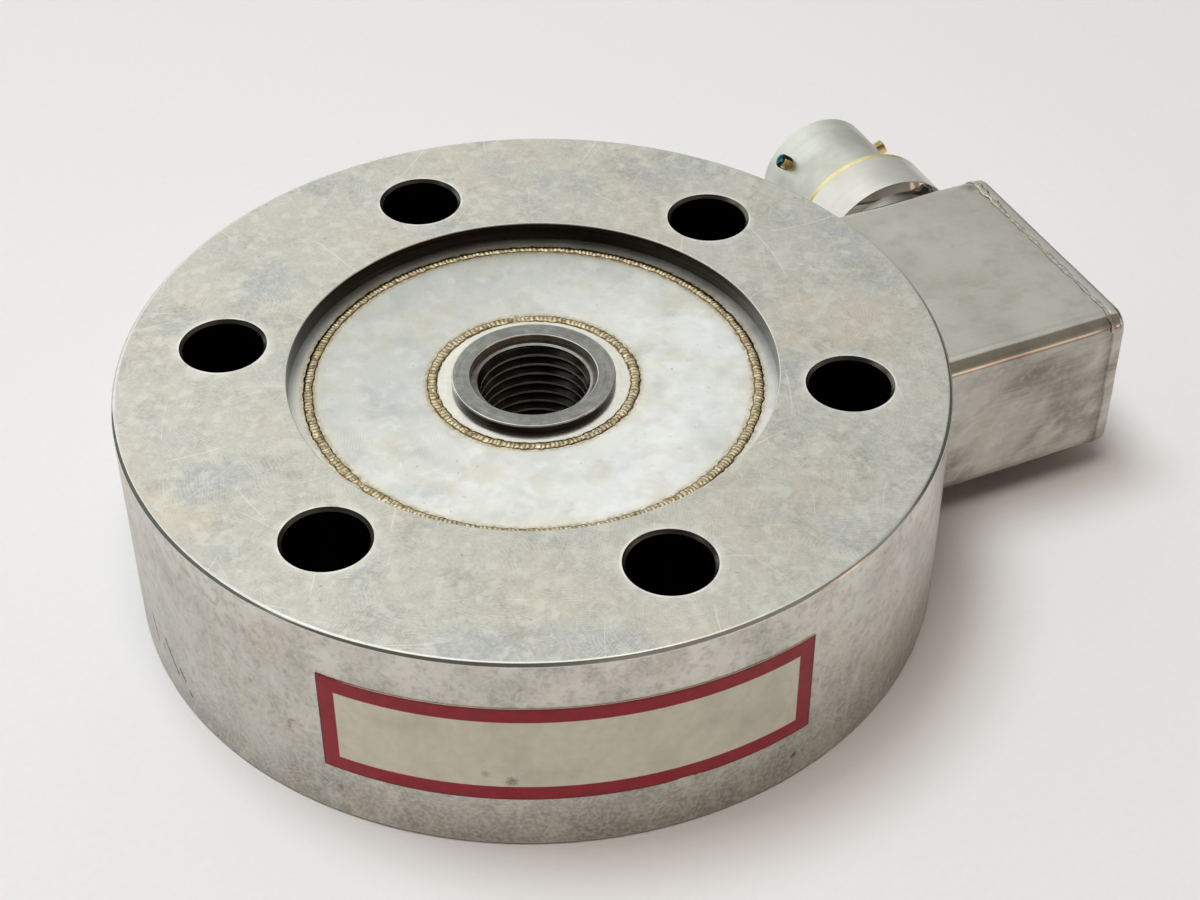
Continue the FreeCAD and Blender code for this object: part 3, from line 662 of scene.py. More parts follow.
def swirls(tree, place, pitch, spread, seed):
    """Families of arcs on a flat place, a pitch apart and a spread across in millimetres, as a mask."""
    moved = add(tree, VECTOR, {0: place, 1: (1.0, 1.0, 0.0), 2: (seed, 2 * seed, 0.0)}, operation="MULTIPLY_ADD")
    cell = add(tree, "ShaderNodeTexVoronoi", {"Vector": moved, "Scale": 1 / spread}, voronoi_dimensions="2D").outputs
    aim = add(tree, VECTOR, {0: cell["Color"], 1: (0.5, 0.5, 0.5)}, operation="SUBTRACT")
    centre = add(tree, VECTOR, {0: aim, 1: (3 * spread, 3 * spread, 0.0), 2: cell["Position"]},
                 operation="MULTIPLY_ADD")
    reach = add(tree, VECTOR, {0: moved, 1: centre}, operation="DISTANCE")
    stray = add(tree, NOISE, {"Vector": moved, "Scale": 0.35, "Detail": 1.0})
    count = add(tree, MULTIPLY_ADD, {0: reach, 1: 1 / pitch, 2: stray})
    angle = add(tree, MULTIPLY, {0: count, 1: math.tau})
    wave = add(tree, MATH, {0: angle}, operation="SINE")
    crest = add(tree, RANGE, {"Value": wave, "From Min": -0.3, "From Max": 1.0})
    inside = add(tree, RANGE, {"Value": cell["Distance"], "From Min": 0.6, "From Max": 0.25})
    worn = patches(tree, moved, 1.5, 0.42, 0.62, 3.0, seed)
    shown = add(tree, MULTIPLY, {0: inside, 1: worn})
    return add(tree, MULTIPLY, {0: crest, 1: shown})


def spot(tree, place, centre, size):
    """Ragged spot round a centre, as a mask."""
    away = add(tree, VECTOR, {0: place, 1: centre}, operation="DISTANCE")
    rag = add(tree, NOISE, {"Vector": place, "Scale": 3 / size, "Detail": 4.0, "Roughness": 0.6})
    edge = add(tree, MULTIPLY_ADD, {0: rag, 1: 1.6 * size, 2: away})
    return add(tree, RANGE, {"Value": edge, "From Min": 1.7 * size, "From Max": 0.9 * size})


def stroke(tree, place, start, end, width):
    """Straight pen stroke on a flat place, as a mask."""
    start, run = Vector(start), Vector(end) - Vector(start)
    local = add(tree, VECTOR, {0: place, 1: start}, operation="SUBTRACT")
    reach = add(tree, DOT, {0: local, 1: run})
    share = add(tree, MULTIPLY, {0: reach, 1: 1 / run.length_squared}, use_clamp=True)
    nearest = add(tree, SCALE, {0: list(run), "Scale": share})
    off = add(tree, VECTOR, {0: local, 1: nearest}, operation="DISTANCE")
    rag = add(tree, NOISE, {"Vector": place, "Scale": 2.0, "Detail": 2.0})
    edge = add(tree, MULTIPLY_ADD, {0: rag, 1: width, 2: off})
    return add(tree, RANGE, {"Value": edge, "From Min": 1.1 * width, "From Max": 0.7 * width})


def unrolled(tree, point):
    """Place on the rim's wall laid flat: way round from the side away from the box, and height, in millimetres."""
    turned = add(tree, STRETCH, {0: point, 1: (-1.0, -1.0, 1.0)})
    parts = add(tree, SEPARATE, {0: turned}).outputs
    angle = add(tree, MATH, {0: parts["Y"], 1: parts["X"]}, operation="ARCTAN2")
    way = add(tree, MULTIPLY, {0: angle, 1: RIM_HIGH.x / MM})
    return add(tree, COMBINE, {"X": way, "Y": parts["Z"]})


def from_axis(tree, point):
    """Distance from the hub's axis in millimetres."""
    flat = add(tree, STRETCH, {0: point, 1: (1.0, 1.0, 0.0)})
    return add(tree, VECTOR, {0: flat}, operation="LENGTH")


def lapped_steel(rim):
    """Stainless steel lapped flat by hand: pale satin, with patches of fine arcs, straw and slate clouds, hairlines."""
    material, tree, shader, point = new_material("lapped_stainless_steel")
    tone = clouded(tree, linear("C3C1B7"), point,
                   ("D2C3A8", 13.0, 0.48, 0.66, 3.0, 1.0, 0.5), ("A1A7AB", 9.0, 0.5, 0.66, 4.0, 2.0, 0.65),
                   ("9A978C", 3.0, 0.5, 0.68, 6.0, 3.0, 0.48), ("E0DED2", 1.4, 0.52, 0.64, 6.0, 8.0, 0.52))
    grain = patches(tree, point, 0.36, 0.35, 0.68, 2.0, 4.0)
    tone = tinted(tree, tone, "DBD9CE", grain, 0.5)
    # Lapping arcs are about 0.02 mm apart; they are drawn 0.3 to 0.4 mm apart, as coarse as they need to show.
    for pitch, spread, seed in ((0.34, 17.0, 3.0), (0.3, 11.0, 40.0), (0.4, 8.0, 71.0)):
        tone = tinted(tree, tone, "E2E0D6", swirls(tree, point, pitch, spread, seed), 0.34)
    # Hairlines are about 0.02 mm wide; they are drawn 0.05 to 0.09 mm wide, as coarse as they need to show.
    fine = scratches(tree, point, 1.7, 0.05, 1.3, 11.0)
    coarse = scratches(tree, point, 7.0, 0.06, 4.5, 57.0)
    marks = add(tree, MULTIPLY_ADD, {0: fine, 1: 0.8, 2: coarse}, use_clamp=True)
    tone = tinted(tree, tone, "F0EEE6", marks, 0.4)
    tone = tinted(tree, tone, "F6F4EC", scratches(tree, point, 11.0, 0.09, 7.5, 83.0), 0.45)
    tone = tinted(tree, tone, "807C72", scratches(tree, point, 2.6, 0.05, 1.8, 31.0), 0.22)
    tone = clouded(tree, tone, point, ("66625A", 0.7, 0.71, 0.76, 2.0, 5.0, 0.45))
    # Bolts have rubbed a paler ring round each hole; the bright broken line just outside each lip is a painted
    # highlight.
    turned = add(tree, ROTATE, {"Vector": point, "Angle": -rim.first_bolt}, rotation_type="Z_AXIS")
    parts = add(tree, SEPARATE, {0: turned}).outputs
    angle = add(tree, MATH, {0: parts["Y"], 1: parts["X"]}, operation="ARCTAN2")
    share = math.tau / rim.bolt_count
    rounded = add(tree, MATH, {0: angle, 1: share / 2})
    nearest = add(tree, MATH, {0: rounded, 1: share}, operation="SNAP")
    backwards = add(tree, MULTIPLY, {0: nearest, 1: -1.0})
    home = add(tree, ROTATE, {"Vector": turned, "Angle": backwards}, rotation_type="Z_AXIS")
    level = add(tree, STRETCH, {0: home, 1: (1.0, 1.0, 0.0)})
    away = add(tree, VECTOR, {0: level, 1: (rim.bolt_circle / MM, 0.0, 0.0)}, operation="DISTANCE")
    hole = rim.hole_radius / MM
    lip = hole + rim.hole_break / MM
    for code, start, end, size, low, high, seed, share in (
            ("E9E7DD", hole + 1.5, hole + 0.5, 1.6, 0.36, 0.56, 9.0, 0.6),
            ("FBFAF4", lip + 0.28, lip + 0.12, 2.6, 0.4, 0.6, 13.0, 0.7)):
        ring = add(tree, RANGE, {"Value": away, "From Min": start, "From Max": end})
        broken = add(tree, MULTIPLY, {0: ring, 1: patches(tree, point, size, low, high, 3.0, seed)})
        tone = tinted(tree, tone, code, broken, share)
    rough = add(tree, RANGE, {"Value": grain, "To Min": 0.3, "To Max": 0.4})
    finish(tree, shader, tone, rough, grain, 0.0015)
    return material


def ground_steel():
    """Stainless steel ground round the rim: a grey haze of soft patches over fine pits, with ink ticks and a stain."""
    material, tree, shader, point = new_material("ground_stainless_steel")
    wall = unrolled(tree, point)
    height = add(tree, SEPARATE, {0: point}).outputs["Z"]
    tone = linear("B9B6AD")
    # Painted shade darkens the foot, and a painted highlight brightens the top.
    for code, start, end, share in (("5E564B", 12.0, 0.0, 0.55), ("F8F4EA", 14.0, 23.0, 0.4)):
        belt = add(tree, RANGE, {"Value": height, "From Min": start, "From Max": end})
        tone = tinted(tree, tone, code, belt, share)
    upright = add(tree, STRETCH, {0: wall, 1: (1.0, 0.35, 1.0)})
    tone = clouded(tree, tone, point, ("D2CFC6", 9.0, 0.45, 0.66, 4.0, 1.0, 0.45),
                   ("8F8C85", 7.0, 0.48, 0.7, 4.0, 2.0, 0.6))
    tone = clouded(tree, tone, upright, ("DAD8D0", 1.8, 0.55, 0.72, 4.0, 8.0, 0.5))
    tone = clouded(tree, tone, point, ("C8BCA6", 4.0, 0.5, 0.7, 3.0, 3.0, 0.45),
                   ("8D897F", 2.6, 0.52, 0.74, 4.0, 7.0, 0.5), ("8A867C", 0.9, 0.5, 0.64, 5.0, 15.0, 0.42))
    # The pits are about 0.05 mm across; they are drawn 0.4 mm across, as coarse as they need to show.
    pits = patches(tree, point, 0.45, 0.4, 0.66, 2.0, 4.0)
    tone = tinted(tree, tone, "DCD9D0", pits, 0.42)
    tone = tinted(tree, tone, "D9D6CD", swirls(tree, wall, 0.5, 7.0, 9.0), 0.3)
    tone = tinted(tree, tone, "DEDBD2", scratches(tree, wall, 2.8, 0.07, 2.0, 5.0), 0.4)
    tone = clouded(tree, tone, point, ("6B665D", 1.3, 0.68, 0.76, 3.0, 6.0, 0.5))
    tone = tinted(tree, tone, "3C3833", spot(tree, wall, (79.4, 3.4, 0.0), 0.6), 0.85)
    for start, end in (((1.4, 7.7), (2.3, 4.6)), ((4.1, 5.4), (4.2, 5.2)), ((5.0, 7.0), (7.5, 4.1)),
                       ((8.1, 5.2), (9.0, 4.3)), ((9.9, 3.2), (10.1, 2.9))):
        tone = tinted(tree, tone, "2A2A31", stroke(tree, wall, (*start, 0.0), (*end, 0.0), 0.5), 0.95)
    rough = add(tree, RANGE, {"Value": pits, "To Min": 0.34, "To Max": 0.44})
    finish(tree, shader, tone, rough, pits, 0.004)
    return material


def bore_steel(name, dark_code, light_code):
    """Drilled or bored stainless steel, painted dark for the shade in its depth and for dark reflections on its bevels,
    with faint rings from the tool.
    """
    material, tree, shader, point = new_material(name)
    drawn = add(tree, STRETCH, {0: point, 1: (0.1, 0.1, 5.0)})
    rings = patches(tree, drawn, 1.0, 0.3, 0.7)
    tone = tinted(tree, linear(dark_code), light_code, rings, 0.6)
    finish(tree, shader, tone, 0.26, rings, 0.006)
    return material


def turned_steel(name, light_code, dark_code, roughness, depth=0.003):
    """Stainless steel from the lathe: rings round the axis, brighter on their crests."""
    material, tree, shader, point = new_material(name)
    # Feed marks are about 0.05 mm apart; they are drawn 0.25 mm apart, as coarse as they need to show.
    height = add(tree, SEPARATE, {0: point}).outputs["Z"]
    way = add(tree, MATH, {0: from_axis(tree, point), 1: height})
    bands = add(tree, COMBINE, {"X": way})
    drift = add(tree, VECTOR, {0: point, 1: (0.04, 0.04, 0.0), 2: bands}, operation="MULTIPLY_ADD")
    rings = patches(tree, drift, 0.25, 0.3, 0.7)
    tone = tinted(tree, linear(dark_code), light_code, rings, 0.45)
    tone = clouded(tree, tone, point, (light_code, 0.8, 0.4, 0.65, 4.0, 2.0, 0.6),
                   (dark_code, 2.5, 0.45, 0.7, 3.0, 1.0, 0.6))
    finish(tree, shader, tone, roughness, rings, depth)
    return material


def cover_steel(cover):
    """Cold-rolled stainless sheet, rubbed dull: very pale, cloudy with blue and cream, heat-tinted by its welds."""
    material, tree, shader, point = new_material("cold_rolled_stainless_sheet")
    tone = clouded(tree, linear("E6E6DE"), point,
                   ("D1D6D8", 11.0, 0.46, 0.64, 4.0, 1.0, 0.6), ("E8E4D4", 8.0, 0.48, 0.68, 4.0, 2.0, 0.5),
                   ("BBBDBC", 3.4, 0.48, 0.68, 6.0, 3.0, 0.55), ("FAF9F3", 1.6, 0.5, 0.68, 6.0, 4.0, 0.6))
    # The sheet is paler towards the front and right, with the marks of drops that dried there.
    lean = add(tree, DOT, {0: point, 1: (-0.75, 0.66, 0.0)})
    towards_front_right = add(tree, RANGE, {"Value": lean, "From Min": 8.0, "From Max": -14.0})
    for code, size, low, high, detail, seed, share in (("F8FAF8", 7.0, 0.4, 0.56, 4.0, 9.0, 0.6),
                                                       ("FFFFFF", 5.0, 0.52, 0.57, 7.0, 12.0, 0.4)):
        cloud = patches(tree, point, size, low, high, detail, seed)
        tone = tinted(tree, tone, code, add(tree, MULTIPLY, {0: towards_front_right, 1: cloud}), share)
    tone = clouded(tree, tone, point, ("DDD6C2", 4.0, 0.54, 0.62, 6.0, 14.0, 0.4))
    # The sheet is darker towards the back and left.
    depth = add(tree, DOT, {0: point, 1: (-0.4, 0.92, 0.0)})
    towards_back_left = add(tree, RANGE, {"Value": depth, "From Min": -4.0, "From Max": 16.0})
    tone = tinted(tree, tone, "B4B6B1", towards_back_left, 0.4)
    # Rubbing marks are about 0.02 mm apart; they are drawn 0.34 mm apart, as coarse as they need to show.
    tone = tinted(tree, tone, "F4F3EC", swirls(tree, point, 0.34, 6.0, 21.0), 0.3)
    tone = tinted(tree, tone, "FAF9F4", scratches(tree, point, 2.0, 0.05, 1.4, 23.0), 0.22)
    tone = clouded(tree, tone, point, ("A8A59A", 0.7, 0.68, 0.76, 2.0, 5.0, 0.5))
    # The welding's heat has left straw beside each bead, and brown spatter close to it.
    radius = from_axis(tree, point)
    spatter = patches(tree, point, 0.45, 0.36, 0.66, 2.0, 6.0)
    for crown in (cover.inner_bead, cover.outer_bead):
        away = add(tree, SUBTRACT, {0: radius, 1: crown / MM})
        distance = add(tree, ABSOLUTE, {0: away})
        near = add(tree, RANGE, {"Value": distance, "From Min": 1.6, "From Max": 0.5})
        tone = tinted(tree, tone, "E2D5B0", near, 0.45)
        close = add(tree, RANGE, {"Value": distance, "From Min": 1.05, "From Max": 0.55})
        burnt = add(tree, MULTIPLY, {0: close, 1: spatter})
        tone = tinted(tree, tone, "8C754C", burnt, 0.8)
    rough = patches(tree, point, 6.0, 0.3, 0.7, 3.0, 7.0)
    dull = add(tree, RANGE, {"Value": rough, "To Min": 0.36, "To Max": 0.46})
    dimple = patches(tree, point, 3.0, 0.0, 1.0, 2.0, 8.0)
    finish(tree, shader, tone, dull, dimple, 0.012)
    return material


def weld_steel(name, crest_code, groove_code, edge_code, roughness):
    """Weld metal as it froze: straw ripples, pale on their crests and dark between them as heat tint and painted
    highlight and shade, with pale specks of painted glint, burnt brown along the edges.
    """
    material, tree, shader, point = new_material(name)
    ripple = add(tree, "ShaderNodeAttribute", attribute_name="ripple").outputs["Fac"]
    edge = add(tree, "ShaderNodeAttribute", attribute_name="edge").outputs["Fac"]
    # Pale crests and dark grooves are partly heat tint and partly painted highlight and shade.
    crest = add(tree, RANGE, {"Value": ripple, "From Min": 0.15, "From Max": 0.95})
    tone = tinted(tree, linear(groove_code), crest_code, crest, 0.9)
    # Dark blotches in the groove colour, and pale specks that are painted glints.
    tone = clouded(tree, tone, point, (groove_code, 0.5, 0.44, 0.64, 3.0, 1.0, 0.85),
                   ("F4EEDC", 0.28, 0.6, 0.7, 1.0, 2.0, 0.7))
    rag = add(tree, NOISE, {"Vector": point, "Scale": 1.6, "Detail": 3.0})
    burnt = add(tree, MULTIPLY_ADD, {0: rag, 1: 0.8, 2: edge})
    burn = add(tree, RANGE, {"Value": burnt, "From Min": 1.04, "From Max": 1.24})
    tone = tinted(tree, tone, edge_code, burn, 0.9)
    finish(tree, shader, tone, roughness)
    return material


def tube_steel():
    """Drawn stainless tube, scoured by hand: soft grey clouds on its faces, polished along its long edges."""
    material, tree, shader, point = new_material("drawn_stainless_tube")
    parts = add(tree, SEPARATE, {0: point}).outputs
    rise = add(tree, SUBTRACT, {0: parts["Z"], 1: MIDDLE_Z / MM})
    near = []
    for value, half in ((parts["Y"], BOX_HIGH.y / MM), (rise, (BOX_HIGH.z - MIDDLE_Z) / MM)):
        size = add(tree, ABSOLUTE, {0: value})
        near.append(add(tree, RANGE, {"Value": size, "From Min": half - 2.4, "From Max": half - 1.8}))
    polish = add(tree, MULTIPLY, {0: near[0], 1: near[1]})
    tone = clouded(tree, linear("C3C0B5"), point, ("CFCCC2", 9.0, 0.44, 0.64, 3.0, 1.0, 0.6))
    # The upright faces are painted darker than the top, as painted shade, and are smeared aslant.
    upright = add(tree, RANGE, {"Value": parts["Z"], "From Min": 22.0, "From Max": 20.0})
    sunk = add(tree, RANGE, {"Value": upright, "To Min": 0.25, "To Max": 1.0})
    slanted = add(tree, ROTATE, {"Vector": point, "Angle": math.radians(35)}, rotation_type="Y_AXIS")
    streaky = add(tree, STRETCH, {0: slanted, 1: (0.5, 1.0, 1.2)})
    side_shade_patches = add(tree, MULTIPLY, {0: sunk, 1: patches(tree, point, 11.0, 0.4, 0.68, 4.0, 2.0)})
    tone = tinted(tree, tone, "7F766A", side_shade_patches, 0.9)
    tone = tinted(tree, tone, "8B8378", upright, 0.3)
    for code, size, low, high, seed, share in (("6B6257", 5.0, 0.46, 0.62, 6.0, 0.6),
                                               ("DCD2C8", 3.4, 0.53, 0.68, 7.0, 0.5)):
        smear = patches(tree, streaky, size, low, high, 5.0, seed)
        tone = tinted(tree, tone, code, add(tree, MULTIPLY, {0: upright, 1: smear}), share)
    # The seam beside the end plate is drawn darker.
    seam = add(tree, "ShaderNodeAttribute", attribute_name="seam").outputs["Fac"]
    tone = tinted(tree, tone, "4F4840", seam, 0.55)
    tone = clouded(tree, tone, point, ("A1998B", 2.2, 0.52, 0.72, 3.0, 3.0, 0.35),
                   ("CFCCC3", 0.7, 0.5, 0.7, 3.0, 4.0, 0.25))
    # Drawing lines are about 0.05 mm apart; they are drawn 0.4 mm apart, as coarse as they need to show.
    drawn = add(tree, STRETCH, {0: point, 1: (0.12, 2.5, 2.5)})
    lines = patches(tree, drawn, 1.0, 0.4, 0.7)
    tone = tinted(tree, tone, "D2CFC6", lines, 0.18)
    tone = tinted(tree, tone, "5A544B", spot(tree, point, (62.6, 13.6, 22.0), 1.4), 0.6)
    rough = patches(tree, point, 5.0, 0.3, 0.7, 2.0, 5.0)
    dull = add(tree, RANGE, {"Value": rough, "To Min": 0.3, "To Max": 0.4})
    smooth = add(tree, MIX, {0: polish, 2: dull, 3: 0.1})
    finish(tree, shader, tone, smooth, lines, 0.002)
    return material


def connector_metal(name, base_code, stain_code, roughness, stain_mm, shade_code=None):
    """Turned or plated metal of the connector: rings round its axis under light tarnish, with painted shade on one side
    where a shade colour is given.
    """
    material, tree, shader, point = new_material(name)
    # Feed marks are about 0.05 mm apart; they are drawn 0.3 mm apart, as coarse as they need to show.
    drawn = add(tree, STRETCH, {0: point, 1: (0.08, 3.3, 0.08)})
    rings = patches(tree, drawn, 1.0, 0.3, 0.7)
    haze = patches(tree, point, stain_mm, 0.45, 0.7, 4.0, 1.0)
    tone = tinted(tree, linear(base_code), stain_code, haze, 0.8)
    tone = tinted(tree, tone, stain_code, rings, 0.3)
    # Painted shade darkens the side of the axis towards the box's end.
    if shade_code:
        across = add(tree, SEPARATE, {0: point}).outputs["X"]
        middle = CONNECTOR_X / MM
        shaded_side = add(tree, RANGE, {"Value": across, "From Min": middle - 3.0, "From Max": middle + 1.0})
        tone = tinted(tree, tone, shade_code, shaded_side, 0.9)
    rough = add(tree, RANGE, {"Value": haze, "To Min": roughness, "To Max": roughness + 0.1})
    finish(tree, shader, tone, rough, rings, 0.002)
    return material


def moulded(name, base_code, mottle_code, size_mm, roughness):
    """Plastic, foam, glass or laminate: one colour, mottled at the scale of its filler, with a fine uneven skin."""
    material, tree, shader, point = new_material(name)
    mottle = patches(tree, point, size_mm, 0.4, 0.65, 4.0)
    tone = tinted(tree, linear(base_code), mottle_code, mottle, 1.0)
    finish(tree, shader, tone, roughness, mottle, 0.005, 0.0)
    return material


def bayonet_brass():
    """Turned brass rivet: yellow and bright on its rim, with painted shade in its dished face, one with a dab of teal
    paint.
    """
    material, tree, shader, point = new_material("tarnished_brass")
    dish = add(tree, "ShaderNodeAttribute", attribute_name="dish").outputs["Fac"]
    dab = add(tree, "ShaderNodeAttribute", attribute_name="dab").outputs["Fac"]
    tone = clouded(tree, linear("E6CE94"), point, ("BD9C55", 0.6, 0.4, 0.7, 4.0, 0.0, 1.0))
    # Painted shade darkens each pin's dished face, most on the first pin.
    tone = tinted(tree, tone, "1B1710", dish, 1.0)
    tone = tinted(tree, tone, "1E6A74", dab, 1.0)
    metal = add(tree, SUBTRACT, {0: 1.0, 1: dab})
    finish(tree, shader, tone, 0.28, metallic=metal)
    return material


def label_print(label):
    """Printed vinyl film: a crimson border round a bare cream field, dulled and smudged by handling."""
    material, tree, shader, point = new_material("printed_vinyl_film")
    length_mm, height_mm = label.arc_length / MM, (LABEL_HIGH.z - LABEL_LOW.z) / MM
    sheet = add(tree, "ShaderNodeUVMap", uv_map="label_mm")
    parts = add(tree, SEPARATE, {0: sheet}).outputs
    depths = []
    for value, size in ((parts["X"], length_mm), (parts["Y"], height_mm)):
        off = add(tree, SUBTRACT, {0: value, 1: size / 2})
        away = add(tree, ABSOLUTE, {0: off})
        depths.append(add(tree, SUBTRACT, {0: size / 2, 1: away}))
    inside = add(tree, MATH, {0: depths[0], 1: depths[1]}, operation="MINIMUM")
    edge = label.border / MM
    field = add(tree, RANGE, {"Value": inside, "From Min": edge - 0.04, "From Max": edge + 0.04})
    mottle = patches(tree, point, 1.0, 0.4, 0.7, 4.0, 1.0)
    grime = patches(tree, point, 5.0, 0.5, 0.7, 4.0, 2.0)
    cream = tinted(tree, list(label.field_colour), "CFC8B2", mottle, 0.35)
    cream = tinted(tree, cream, "B4AD9A", grime, 0.3)
    cream = tinted(tree, cream, "5F5B50", spot(tree, sheet, (0.38 * length_mm, 2.6, 0.0), 0.9), 0.75)
    cream = tinted(tree, cream, "77725F", spot(tree, sheet, (0.33 * length_mm, 3.6, 0.0), 0.6), 0.5)
    crimson = tinted(tree, list(label.border_colour), "7C1722", mottle, 0.5)
    tone = add(tree, MIX, {0: field, 6: crimson, 7: cream}, data_type="RGBA")
    worn = add(tree, RANGE, {"Value": inside, "From Min": 0.3, "From Max": 0.05})
    tone = tinted(tree, tone, "2E2320", worn, 0.6)
    rough = add(tree, RANGE, {"Value": grime, "To Min": 0.4, "To Max": 0.55})
    finish(tree, shader, tone, rough, mottle, 0.004, 0.0)
    shader.inputs["Specular IOR Level"].default_value = 0.25
    return material


# Operators

class LOADCELL_OT_sensing_element(bpy.types.Operator):
    """Turn, join and drill the rim, webs and hub in one piece"""
    bl_idname = "load_cell.sensing_element"
    bl_label = "Sensing Element"

    def execute(self, context):
        cell = context.scene.load_cell
        rim, hub, cover = cell.rim, cell.hub, cell.cover
        bed = COVER_LOW.z
        ledge = bed + cover.thickness
        # The rim's edge is rubbed round, more above its bevel than below it.
        lower_easing, upper_easing, mouth_easing = 0.08 * MM, 0.25 * MM, 0.16 * MM
        ring = mirrored([
            (rim.radius, rim.height - rim.edge_break, lower_easing),
            (rim.radius - rim.edge_break, rim.height, upper_easing),
            (rim.recess_radius, rim.height, rim.recess_break),
            (rim.recess_radius, ledge, 0.0),
            (cover.outer_radius, ledge, 0.0),
            (cover.outer_radius, bed, 0.0),
            (rim.cavity_radius, bed, 0.0),
        ])
        boss_top = rim.height - hub.boss_drop
        core = mirrored([
            (hub.body_radius, bed, 0.0),
            (cover.inner_radius, bed, 0.0),
            (cover.inner_radius, ledge, 0.0),
            (hub.boss_radius, ledge, 0.0),
            (hub.boss_radius, boss_top, hub.boss_break),
            (hub.mouth_radius, boss_top, mouth_easing),
            (hub.mouth_radius, boss_top - hub.mouth_depth, 0.0),
            (hub.thread_radius, boss_top - hub.mouth_depth, 0.0),
        ])
        lapped, ground, sheet = lapped_steel(rim), ground_steel(), cover_steel(cover)
        # Hole walls, the recess wall and the boss's side are painted dark as painted shade, and the holes' bevels as
        # painted dark reflection.
        bore = bore_steel("drilled_stainless_steel", "38342E", "6E675B")
        shade = bore_steel("stainless_steel_painted_shade", "24211D", "544F46")
        mouth = turned_steel("reamed_stainless_steel", "D8D0C2", "A69E92", 0.5)
        seat = turned_steel("counterbored_stainless_steel", "827D74", "5B574F", 0.3)
        boss = turned_steel("turned_stainless_steel", "A8A9A1", "7C7D76", 0.26, 0.01)
        edge = turned_steel("polished_steel_edge", "E2E1DB", "CBCAC3", 0.1)
        bevel = bore_steel("countersunk_stainless_steel", "4E4A44", "827D73")
        faced = turned_steel("faced_stainless_steel", "FBF8EC", "E6E3D8", 0.2)
        finishes = (lapped, ground, bore, shade, mouth, seat, boss, edge, bevel, faced, sheet)
        base = outlines("sensing_element", eased(ring), eased(core))
        mesh = finished(grown("sensing_element", drilled_rim_tree(lapped, rim, hub), base), split_slopes=True)
        mesh.materials.clear()
        bolts = [Vector((math.cos(angle), math.sin(angle))) * rim.bolt_circle
                 for angle in (rim.first_bolt + math.tau * k / rim.bolt_count for k in range(rim.bolt_count))]
        for face in mesh.polygons:
            centre = Vector(face.center[:2])
            radius = centre.length
            level = abs(face.normal.z)
            upright, flat = level < 0.02, level > 0.995
            from_bolt = min((centre - bolt).length for bolt in bolts)
            if not (upright or flat):
                steel = bevel if from_bolt < rim.hole_radius + rim.hole_break else edge
            elif upright and radius > rim.radius - rim.edge_break:
                steel = ground
            elif upright and from_bolt < rim.hole_radius + HAIR:
                steel = bore
            elif upright and radius < hub.mouth_radius + HAIR:
                steel = mouth
            elif upright and (radius > rim.recess_radius - 5 * HAIR or radius < hub.boss_radius + HAIR):
                steel = shade
            elif radius < hub.boss_radius + HAIR:
                steel = seat if radius < hub.mouth_radius else boss
            elif radius < rim.recess_radius:
                steel = faced if radius < cover.inner_radius else sheet
            else:
                steel = lapped
            face.material_index = finishes.index(steel)
        new_piece("sensing_element_body", mesh, "body_steel", "sensing_element", materials=finishes)
        return {"FINISHED"}


class LOADCELL_OT_hub_thread(bpy.types.Operator):
    """Wind the thread in the hub's bore"""
    bl_idname = "load_cell.hub_thread"
    bl_label = "Hub Thread"

    def execute(self, context):
        cell = context.scene.load_cell
        hub = cell.hub
        high = cell.rim.height - hub.boss_drop - hub.mouth_depth
        low = cell.rim.height - high
        # The thread's flanks are painted near black, as painted shade in the bore.
        steel = turned_steel("tapped_stainless_steel", "3C3834", "171513", 0.2)
        # The ridge starts and ends a turn outside the thread, where the tree flattens it away.
        turns = (high - low) / hub.thread_pitch + 2.0
        ridge = grown("hub_thread", thread_tree(steel), bpy.data.meshes.new("hub_thread"), {
            "Radius": hub.thread_radius, "Ridge": hub.thread_depth, "Pitch": hub.thread_pitch, "Turns": turns,
            "Low": low, "High": high})
        ridge = finished(ridge)
        # The crest is painted pale, as a painted highlight.
        crest = turned_steel("thread_crest_painted_highlight", "F4F0E8", "D2CEC6", 0.75)
        for face in ridge.polygons:
            face.material_index = int(abs(face.normal.z) < 0.3)
        new_piece("hub_thread", ridge, "body_steel", materials=(crest,))
        # A bright bevel stands a little way into the bore at each mouth.
        root, brim, drop = hub.thread_radius + HAIR, hub.thread_radius - 0.28 * MM, 0.13 * MM
        rings = [[(root, mouth), (brim, mouth + way * drop), (root, mouth + way * hub.lead_in)]
                 for mouth, way in ((high, -1), (low, 1))]
        bright = turned_steel("bevelled_stainless_steel", "A8A69F", "7A7872", 0.2)
        new_piece("thread_bevels", finished(turned_mesh("thread_bevels", bright, 96, *rings)), "body_steel")
        return {"FINISHED"}


def lay_bead(name, slot, tree, sizes, points, ups, acrosses, gains, closed=True):
    """Lay a weld bead along points, with its directions and the share of its size that is left at each of them."""
    path = bpy.data.meshes.new(name)
    count = len(points)
    path.from_pydata(points, [(k, (k + 1) % count) for k in range(count if closed else count - 1)], [])
    for label, values in (("up", ups), ("across", acrosses)):
        layer = path.attributes.new(label, "FLOAT_VECTOR", "POINT")
        layer.data.foreach_set("vector", [c for value in values for c in value])
    path.attributes.new("gain", "FLOAT", "POINT").data.foreach_set("value", gains)
    new_piece(name, finished(grown(name, tree, path, sizes), crease=75.0), slot)


